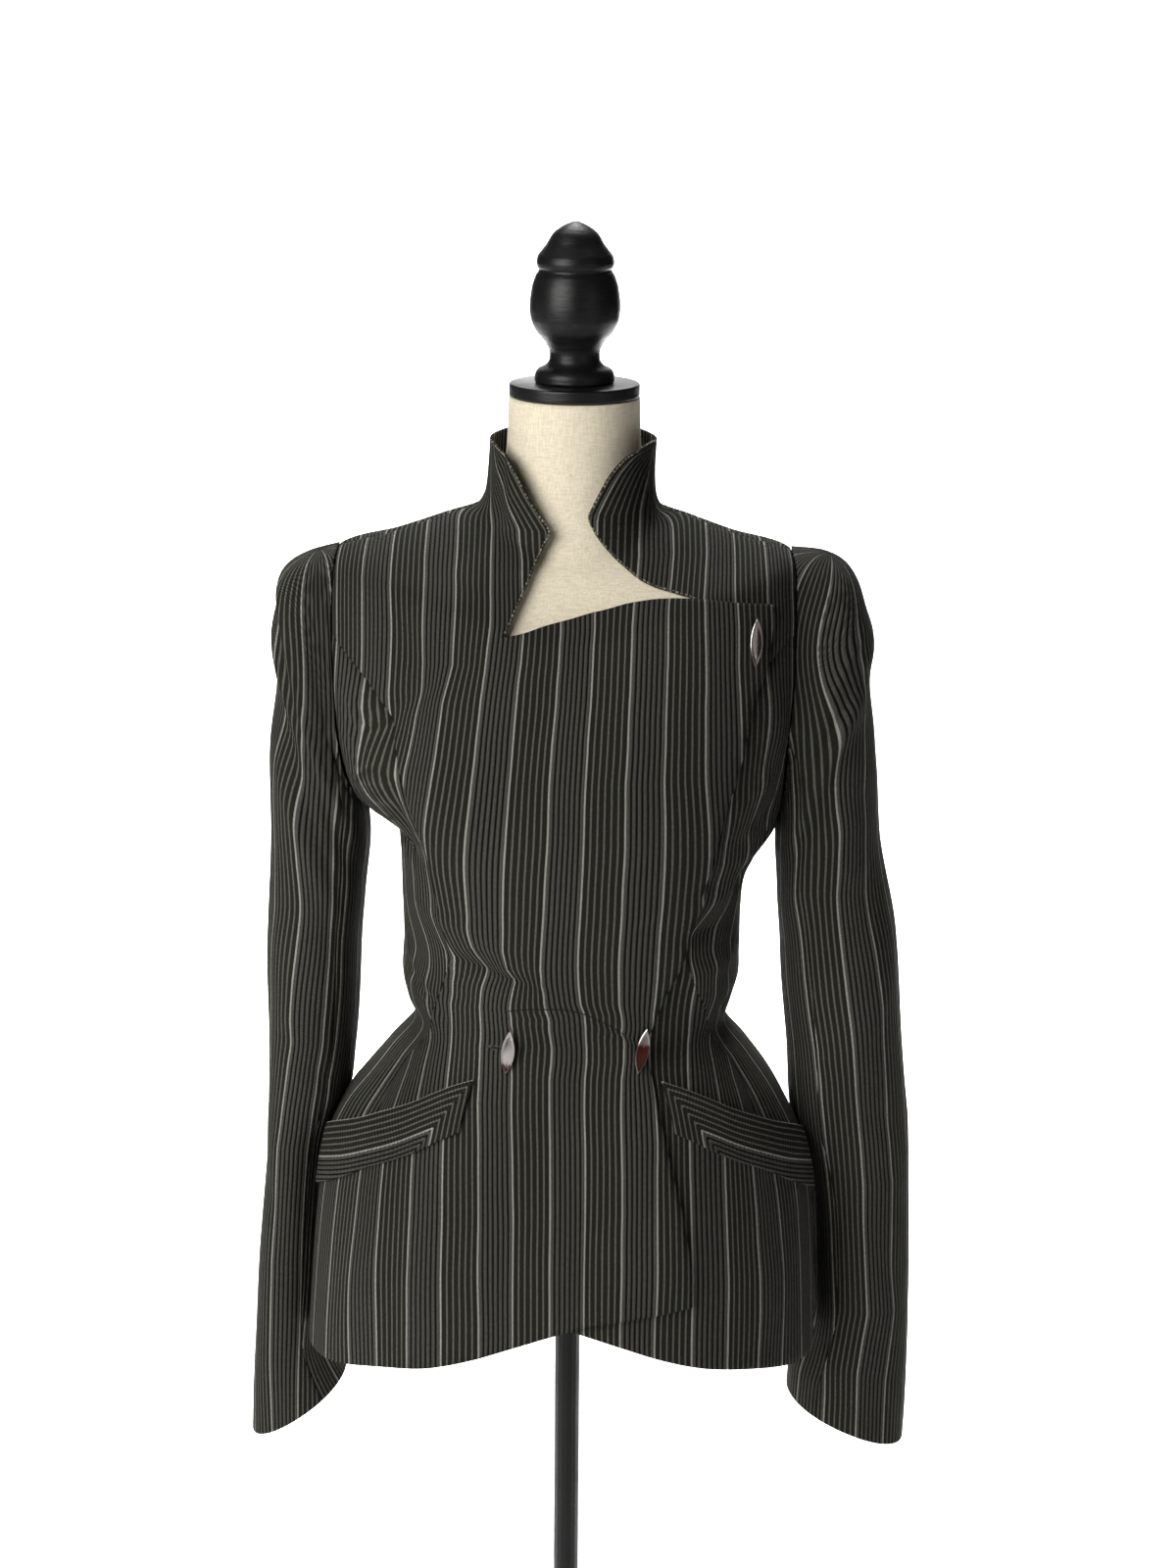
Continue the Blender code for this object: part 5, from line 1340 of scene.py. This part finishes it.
def stitched_or_shaded_line(name, side, line, material, bead):
    """Stitches along an edge of the cloth, or marks that make a line of painted shade along a crease,
    set in from it, on the outer face.
    """
    fine = evenly(line, SEWING_STEPS)
    angle = sign(side) * fine[:, 0]
    run = run_of(body(angle, fine[:, 1]))
    at = np.arange(bead["step"], run[-1] - bead["step"] / 2, bead["step"])
    angle, level = (np.interp(at, run, values) for values in (angle, fine[:, 1]))
    normals = outward(angle, level)
    rise = CLOTH + (lap(angle) if side == "right" else 0 * angle)
    centres = body(angle, level) + normals * rise[:, None]
    along = unit(np.gradient(centres, axis=0))
    inward = body(angle + sign(side), level) - body(angle, level)
    inward = unit(inward - along * (inward * along).sum(1, keepdims=True))
    beads(name, centres + inward * bead["inset"], along, normals, material, bead["size"])


def fine_sewing():
    """Stitches along the neck and collar edges, a near-black line of painted shade along the waist
    crease, and one worked buttonhole: a ring of stitches that stand away from a dark slit of painted
    shade."""
    for side in ("right", "left"):
        lines = FRONTS[side]
        edge = np.array(lines["neck"][::-1] + lines["collar"][::-1][1:], float)
        stitched_or_shaded_line("edge_stitches_" + side, side, edge, thread, BEAD)
    # A near-black line of painted shade along the crease over the waist buttons
    stitched_or_shaded_line("waist_crease_painted_shade", "right", np.array(WAIST_CREASE_SHADE, float), painted_shade_material, CREASE_SHADE_BEAD)
    hole = BUTTONHOLE
    turn = circle(hole["stitches"])
    normal = outward(np.array(hole["angle"]), np.array(hole["level"]))
    aside = unit(np.cross([0, 0, 1.0], normal))
    up = np.cross(normal, aside)
    middle = body(hole["angle"], hole["level"]) + normal * (LAP_LIFT + CLOTH)
    out = np.sign(np.cos(turn)) * np.abs(np.cos(turn)) ** hole["blunt"]
    centres = (middle + out[:, None] * aside * hole["length"]
               + np.sin(turn)[:, None] * up * hole["width"])
    ways = np.cos(turn)[:, None] * aside * 0.5 + np.sin(turn)[:, None] * up
    normals = np.repeat(normal[None], len(turn), 0)
    beads("buttonhole_stitches", centres, ways, normals, wool_thread, HOLE_BEAD)
    # A dark mark of painted shade in the buttonhole's slit
    beads("buttonhole_slit_shade", middle[None], aside[None], normal[None], painted_shade_material, hole["slit"])


def fine_turned(name, profile):
    """A turned piece: the profile's radii and heights joined by smooth lines over its length, and
    turned about the upright axis."""
    profile = np.asarray(profile, float)
    run = run_of(profile)
    number = np.arange((len(run) - 1) * PROFILE_FINER + 1) / PROFILE_FINER
    place = np.interp(number, np.arange(len(run)), run)
    radius = curve(run, profile[:, 0])(place)
    height = curve(run, profile[:, 1])(place)
    turn = circle(TURNED_STEPS)
    rings = np.stack([np.cos(turn) * radius[:, None], np.sin(turn) * radius[:, None],
                      height[:, None] + 0 * turn], -1) * MM
    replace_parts(lofted(name, rings, painted_wood), name)


def fine_form():
    """The torso's rings at a finer step and its neck, the turned pieces, the pole and the base."""
    angle = np.linspace(0, 360, FORM_STEPS["around"], endpoint=False)
    levels, gaps = zip(*FORM_GAP)
    gap = curve(levels, gaps)
    rings = []
    for level in np.linspace(FORM_BOTTOM, levels[-1], FORM_STEPS["torso"]):
        ring = body(angle, float(level), False)
        ring = ring - outward(angle, np.full(len(angle), float(level)), False) * gap(level) * MM
        if level == FORM_BOTTOM:
            ring[:, 2] = level * MM
        ring[:, 0] = np.clip(ring[:, 0], -ARM_PLATE["right"], ARM_PLATE["left"])
        rings.append(ring)
    turn = np.radians(angle)
    front = np.maximum(np.cos(turn), 0) ** 2
    height, radius, dip = (np.array(values) for values in zip(*NECK))
    for z in np.linspace(height[0], height[-1], FORM_STEPS["neck"]):
        r = curve(height, radius)(z)
        rings.append(np.stack([r * np.sin(turn), -r * np.cos(turn),
                               z - curve(height, dip)(z) * front], -1) * MM)
    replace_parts(lofted("form_torso", rings, linen), "form_torso")
    fine_turned("form_neck_disc", DISC)
    fine_turned("form_finial", FINIAL)
    for node in ("form_pole", "form_base"):
        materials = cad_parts[node].data.materials
        materials.clear()
        materials.append(black_iron)


# Materials


class Finish:
    """A material with short words for wiring its shader's nodes."""

    def __init__(self, name):
        """A new material with its shader."""
        self.material = bpy.data.materials.new(name)
        self.material.use_nodes = True
        self.tree = self.material.node_tree
        self.shader = self.tree.nodes["Principled BSDF"]

    def node(self, kind, *inputs, **settings):
        """A node with some of its settings given, and pairs of a socket's name or number and what
        goes into it: a number or another node's output."""
        node = self.tree.nodes.new(kind)
        for key, value in settings.items():
            setattr(node, key, value)
        for key, value in inputs:
            self.link(value, node.inputs[key])
        return node

    def link(self, value, socket):
        """Put a number, a colour or another node's output into a socket."""
        if hasattr(value, "is_output"):
            self.tree.links.new(value, socket)
        elif isinstance(value, tuple) and socket.type == "RGBA":
            socket.default_value = (*value, 1.0)
        else:
            socket.default_value = value

    def math(self, way, *values):
        """One math node."""
        return self.node("ShaderNodeMath", *enumerate(values), operation=way).outputs[0]

    def add(self, first, second):
        """The sum of two values."""
        return self.math("ADD", first, second)

    def less(self, first, second):
        """One value less another."""
        return self.math("SUBTRACT", first, second)

    def times(self, first, second):
        """The product of two values."""
        return self.math("MULTIPLY", first, second)

    def step(self, value, low, high, start=0.0, end=1.0):
        """Smooth step from start below low to end above high."""
        given = zip(("Value", "From Min", "From Max", "To Min", "To Max"),
                    (value, low, high, start, end))
        return self.node("ShaderNodeMapRange", *given, interpolation_type="SMOOTHSTEP").outputs[0]

    def noise(self, source, stretch, detail, roughness=0.5):
        """Noise over texture coordinates, finer the larger the stretch of each way."""
        place = self.node("ShaderNodeTexCoord").outputs[source]
        mapping = self.node("ShaderNodeMapping", ("Vector", place), ("Scale", stretch))
        return self.node("ShaderNodeTexNoise", ("Vector", mapping.outputs[0]), ("Scale", 1.0),
                         ("Detail", detail), ("Roughness", roughness)).outputs["Fac"]

    def on_map(self):
        """The two numbers of the piece's own map."""
        place = self.node("ShaderNodeTexCoord").outputs["UV"]
        return self.node("ShaderNodeSeparateXYZ", (0, place)).outputs[:2]

    def mix(self, share, first, second, way="MIX"):
        """One colour mixed into another."""
        return self.node("ShaderNodeMix", ("Factor", share), (6, first), (7, second),
                         data_type="RGBA", blend_type=way).outputs[2]

    def between(self, share, first, second):
        """A number between two others."""
        return self.node("ShaderNodeMix", ("Factor", share), (2, first), (3, second),
                         data_type="FLOAT").outputs[0]

    def bump(self, height, distance):
        """Relief of a height from 0 to 1, as tall as the distance."""
        node = self.node("ShaderNodeBump", ("Distance", distance), ("Height", height))
        self.link(node.outputs["Normal"], self.shader.inputs["Normal"])

    def set(self, **values):
        """Set sockets of the shader, an underscore standing for a space."""
        for key, value in values.items():
            self.link(value, self.shader.inputs[key.replace("_", " ")])


def wool_finish(name):
    """Striped ribbed wool on the cloth's own map, whose first number is the place across the
    stripes. A run is zone A, olive ground with raised grey cords, then zone B, grey ribs of
    herringbone weave with dark gaps, partly the cloth's darker ground and partly painted shade of
    the recesses between ribs, with a bright cord at the start of each."""
    finish = Finish(name)
    add, less, times, step = finish.add, finish.less, finish.times, finish.step
    across, along = finish.on_map()
    sway = less(finish.noise("UV", (14.0, 14.0, 1.0), 1.0), 0.5)
    place = less(add(across, times(sway, WEAVE["sway"])), BRIGHT_STRIPE * MM)
    run = times(finish.math("FRACT", finish.math("DIVIDE", place, REPEAT)), REPEAT)
    in_b = finish.math("GREATER_THAN", run, ZONE_A)
    past_a = less(run, ZONE_A)

    def nearest(value, half):
        """How far the value is from the nearest whole multiple of twice the half."""
        return finish.math("PINGPONG", value, half)

    from_start = finish.math("MINIMUM", run, less(REPEAT, run))
    from_bright = finish.math("MINIMUM", from_start, finish.math("ABSOLUTE", past_a))
    bright = step(from_bright, *WEAVE["bright_edge"], 1.0, 0.0)
    cord = step(nearest(run, ZONE_A / WEAVE["cords"] / 2), *WEAVE["cord_edge"], 1.0, 0.0)
    half_rib = (REPEAT - ZONE_A) / WEAVE["ribs"] / 2
    rib_place = nearest(past_a, half_rib)
    rib = step(rib_place, *WEAVE["rib_edge"])
    # Zone B's weave is chevrons that point up each rib, and zone A's is a plain slant.
    chevron = nearest(add(along, times(rib_place, WEAVE["chevron_slope"])), WEAVE["chevron"])
    slant = nearest(add(along, times(run, WEAVE["slant_slope"])), WEAVE["slant"])
    weave = finish.between(in_b, step(slant, *WEAVE["slant_edge"]),
                           step(chevron, *WEAVE["chevron_edge"]))
    fibre = finish.noise("UV", (900.0, 420.0, 1.0), 2.0)
    cloud = finish.noise("Object", (9.0, 9.0, 5.0), 3.0)
    zone_a = finish.mix(cord, WOOL["olive_ground"], WOOL["grey_cord"])
    # The gaps between ribs get a near black that is partly painted shade of the recesses
    zone_b = finish.mix(rib, WOOL["rib_gap_painted_shade"], WOOL["grey_rib"])
    colour = finish.mix(bright, finish.mix(in_b, zone_a, zone_b), WOOL["bright_cord"])
    shade = times(step(weave, 0.0, 1.0, *WEAVE["light"]), step(fibre, 0.25, 0.75, *WEAVE["fibre"]))
    shade = times(shade, step(cloud, 0.3, 0.7, *WEAVE["cloud"]))
    finish.set(Base_Color=finish.mix(1.0, colour, shade, "MULTIPLY"), Roughness=0.93,
               Specular_IOR_Level=0.08)
    height = finish.between(in_b, times(cord, 0.85), step(rib_place, 0.0, half_rib, 0.05, 0.80))
    height = add(finish.math("MAXIMUM", height, bright), times(weave, 0.22))
    finish.bump(add(height, times(fibre, 0.2)), WEAVE["relief"])
    return finish.material


def linen_finish(name):
    """Cream linen: threads both ways, uneven level slubs and a few brown flecks."""
    finish = Finish(name)
    level = finish.noise("Object", (150.0, 150.0, 1100.0), 2.0)
    upright = finish.noise("Object", (1000.0, 1000.0, 120.0), 2.0)
    slub = finish.step(finish.noise("Object", (40.0, 40.0, 620.0), 2.0), 0.62, 0.76)
    fleck = finish.step(finish.noise("Object", (260.0, 260.0, 620.0), 1.0), 0.72, 0.80)
    cloud = finish.noise("Object", (7.0, 7.0, 7.0), 2.0)
    threads = finish.step(finish.add(level, upright), 0.75, 1.25)
    colour = finish.mix(threads, LINEN["shade"], LINEN["light"])
    colour = finish.mix(finish.times(slub, 0.35), colour, LINEN["slub"])
    colour = finish.mix(finish.times(fleck, 0.5), colour, LINEN["fleck"])
    colour = finish.mix(finish.step(cloud, 0.3, 0.75, 0.0, 0.35), colour, LINEN["warm"])
    finish.set(Base_Color=colour, Roughness=0.92, Sheen_Weight=0.15)
    threads = finish.add(level, finish.times(upright, 0.7))
    finish.bump(finish.add(threads, finish.times(slub, 0.4)), 0.00012)
    return finish.material


def painted_finish(name):
    """Black satin paint over turned wood or iron: fine grain lines, faint wear, uneven gloss."""
    stretch, roughness, ground = PAINT[name]
    finish = Finish(name)
    lines = finish.noise("Object", stretch, 4.0, 0.65)
    cloud = finish.noise("Object", (18.0, 18.0, 18.0), 3.0)
    worn = tuple(value * 2.6 for value in ground)
    finish.set(Base_Color=finish.mix(finish.step(lines, 0.42, 0.78, 0.0, 0.55), ground, worn),
               Roughness=finish.step(cloud, 0.3, 0.7, roughness, roughness + 0.14),
               Specular_IOR_Level=0.3)
    finish.bump(lines, 0.00028)
    return finish.material


def metal_finish(name):
    """Polished metal, painted dark red to bright by the painted reflection in its map, with fine
    scratches.
    """
    finish = Finish(name)
    scratch = finish.noise("Object", (500.0, 500.0, 90.0), 3.0)
    finish.set(Base_Color=finish.mix(finish.on_map()[0], METAL_PAINTED_REFLECTION["dark"], METAL_PAINTED_REFLECTION["bright"]),
               Metallic=1.0, Roughness=finish.step(scratch, 0.3, 0.8, 0.16, 0.30))
    finish.bump(scratch, 0.00002)
    return finish.material


def thread_finish(name):
    """Twisted sewing thread, a little lighter and darker from stitch to stitch. Near black, the same
    finish is the painted shade of the waist crease and the buttonhole's slit.
    """
    finish = Finish(name)
    tone = finish.step(finish.noise("Object", (420.0, 420.0, 420.0), 1.0), 0.35, 0.65)
    finish.set(Base_Color=finish.mix(tone, *THREADS[name]), Roughness=0.8, Specular_IOR_Level=0.2)
    return finish.material


# Camera and light


def added(name, data):
    """A new object of the scene that holds this data."""
    holder = bpy.data.objects.new(name, data)
    bpy.context.collection.objects.link(holder)
    return holder


def camera():
    """The photograph's place and angle: above the shoulders in front, tipped down and a touch
    turned about its own axis."""
    data = bpy.data.cameras.new("camera")
    data.lens = CAMERA["lens"]
    data.sensor_width = 36.0
    data.clip_end = 100.0
    holder = added("camera", data)
    tip = Matrix.Rotation(radians(90 - CAMERA["down"]), 4, "X")
    roll = Matrix.Rotation(radians(CAMERA["roll"]), 4, "Z")
    holder.matrix_world = Matrix.Translation(CAMERA["place"]) @ tip @ roll
    bpy.context.scene.camera = holder


def studio():
    """A pale floor that sweeps up behind into a wall, a pale sky and broad soft lights."""
    turn = np.linspace(0, pi / 2, FLOOR["steps"])
    back, bend = FLOOR["back"], FLOOR["bend"]
    y = np.concatenate([FLOOR["flat"], back + bend * np.sin(turn), [back + bend]])
    z = np.concatenate([[0.0, 0.0], bend - bend * np.cos(turn), [FLOOR["height"]]])
    reach = np.concatenate([np.full(2, FLOOR["half_width"]), np.full(len(y) - 2, FLOOR["half_wall"])])
    points = np.stack([np.concatenate([-reach, reach]), np.tile(y, 2), np.tile(z, 2)], -1)
    index = np.arange(len(points)).reshape(2, -1)
    faces = np.stack([index[0, :-1], index[1, :-1], index[1, 1:], index[0, 1:]], -1)
    mesh = bpy.data.meshes.new("floor")
    mesh.from_pydata(points.tolist(), [], faces.tolist())
    mesh.shade_smooth()
    pale = Finish("pale_floor")
    pale.set(Base_Color=(0.93, 0.93, 0.93), Roughness=0.95, Specular_IOR_Level=0.0)
    mesh.materials.append(pale.material)
    added("floor", mesh)
    world = bpy.data.worlds.new("studio")
    bpy.context.scene.world = world
    world.use_nodes = True
    sky = world.node_tree.nodes["Background"]
    sky.inputs["Color"].default_value = (1.0, 1.0, 1.0, 1.0)
    sky.inputs["Strength"].default_value = SKY
    for name, place, aim, size, spread, power, colour in LIGHTS:
        data = bpy.data.lights.new(name, "AREA")
        data.shape = "DISK"
        data.size = size
        data.spread = radians(spread)
        data.energy = power
        data.color = colour
        turned = (Vector(place) - Vector(aim)).to_track_quat("Z", "Y").to_matrix().to_4x4()
        added(name, data).matrix_world = Matrix.Translation(place) @ turned


wool = wool_finish("striped_wool")
linen = linen_finish("cream_linen")
painted_wood = painted_finish("black_painted_wood")
black_iron = painted_finish("black_iron")
metal = metal_finish("polished_metal_painted_reflection")
thread = thread_finish("edge_thread")
wool_thread = thread_finish("buttonhole_thread")
# Near black: the painted shade of the waist crease and of the buttonhole's slit
painted_shade_material = thread_finish("painted_shade_dark")
fine_fronts()
fine_backs()
fine_welts()
fine_sleeves()
fine_buttons()
fine_sewing()
fine_form()
camera()
studio()
bpy.context.scene.view_settings.view_transform = "Standard"
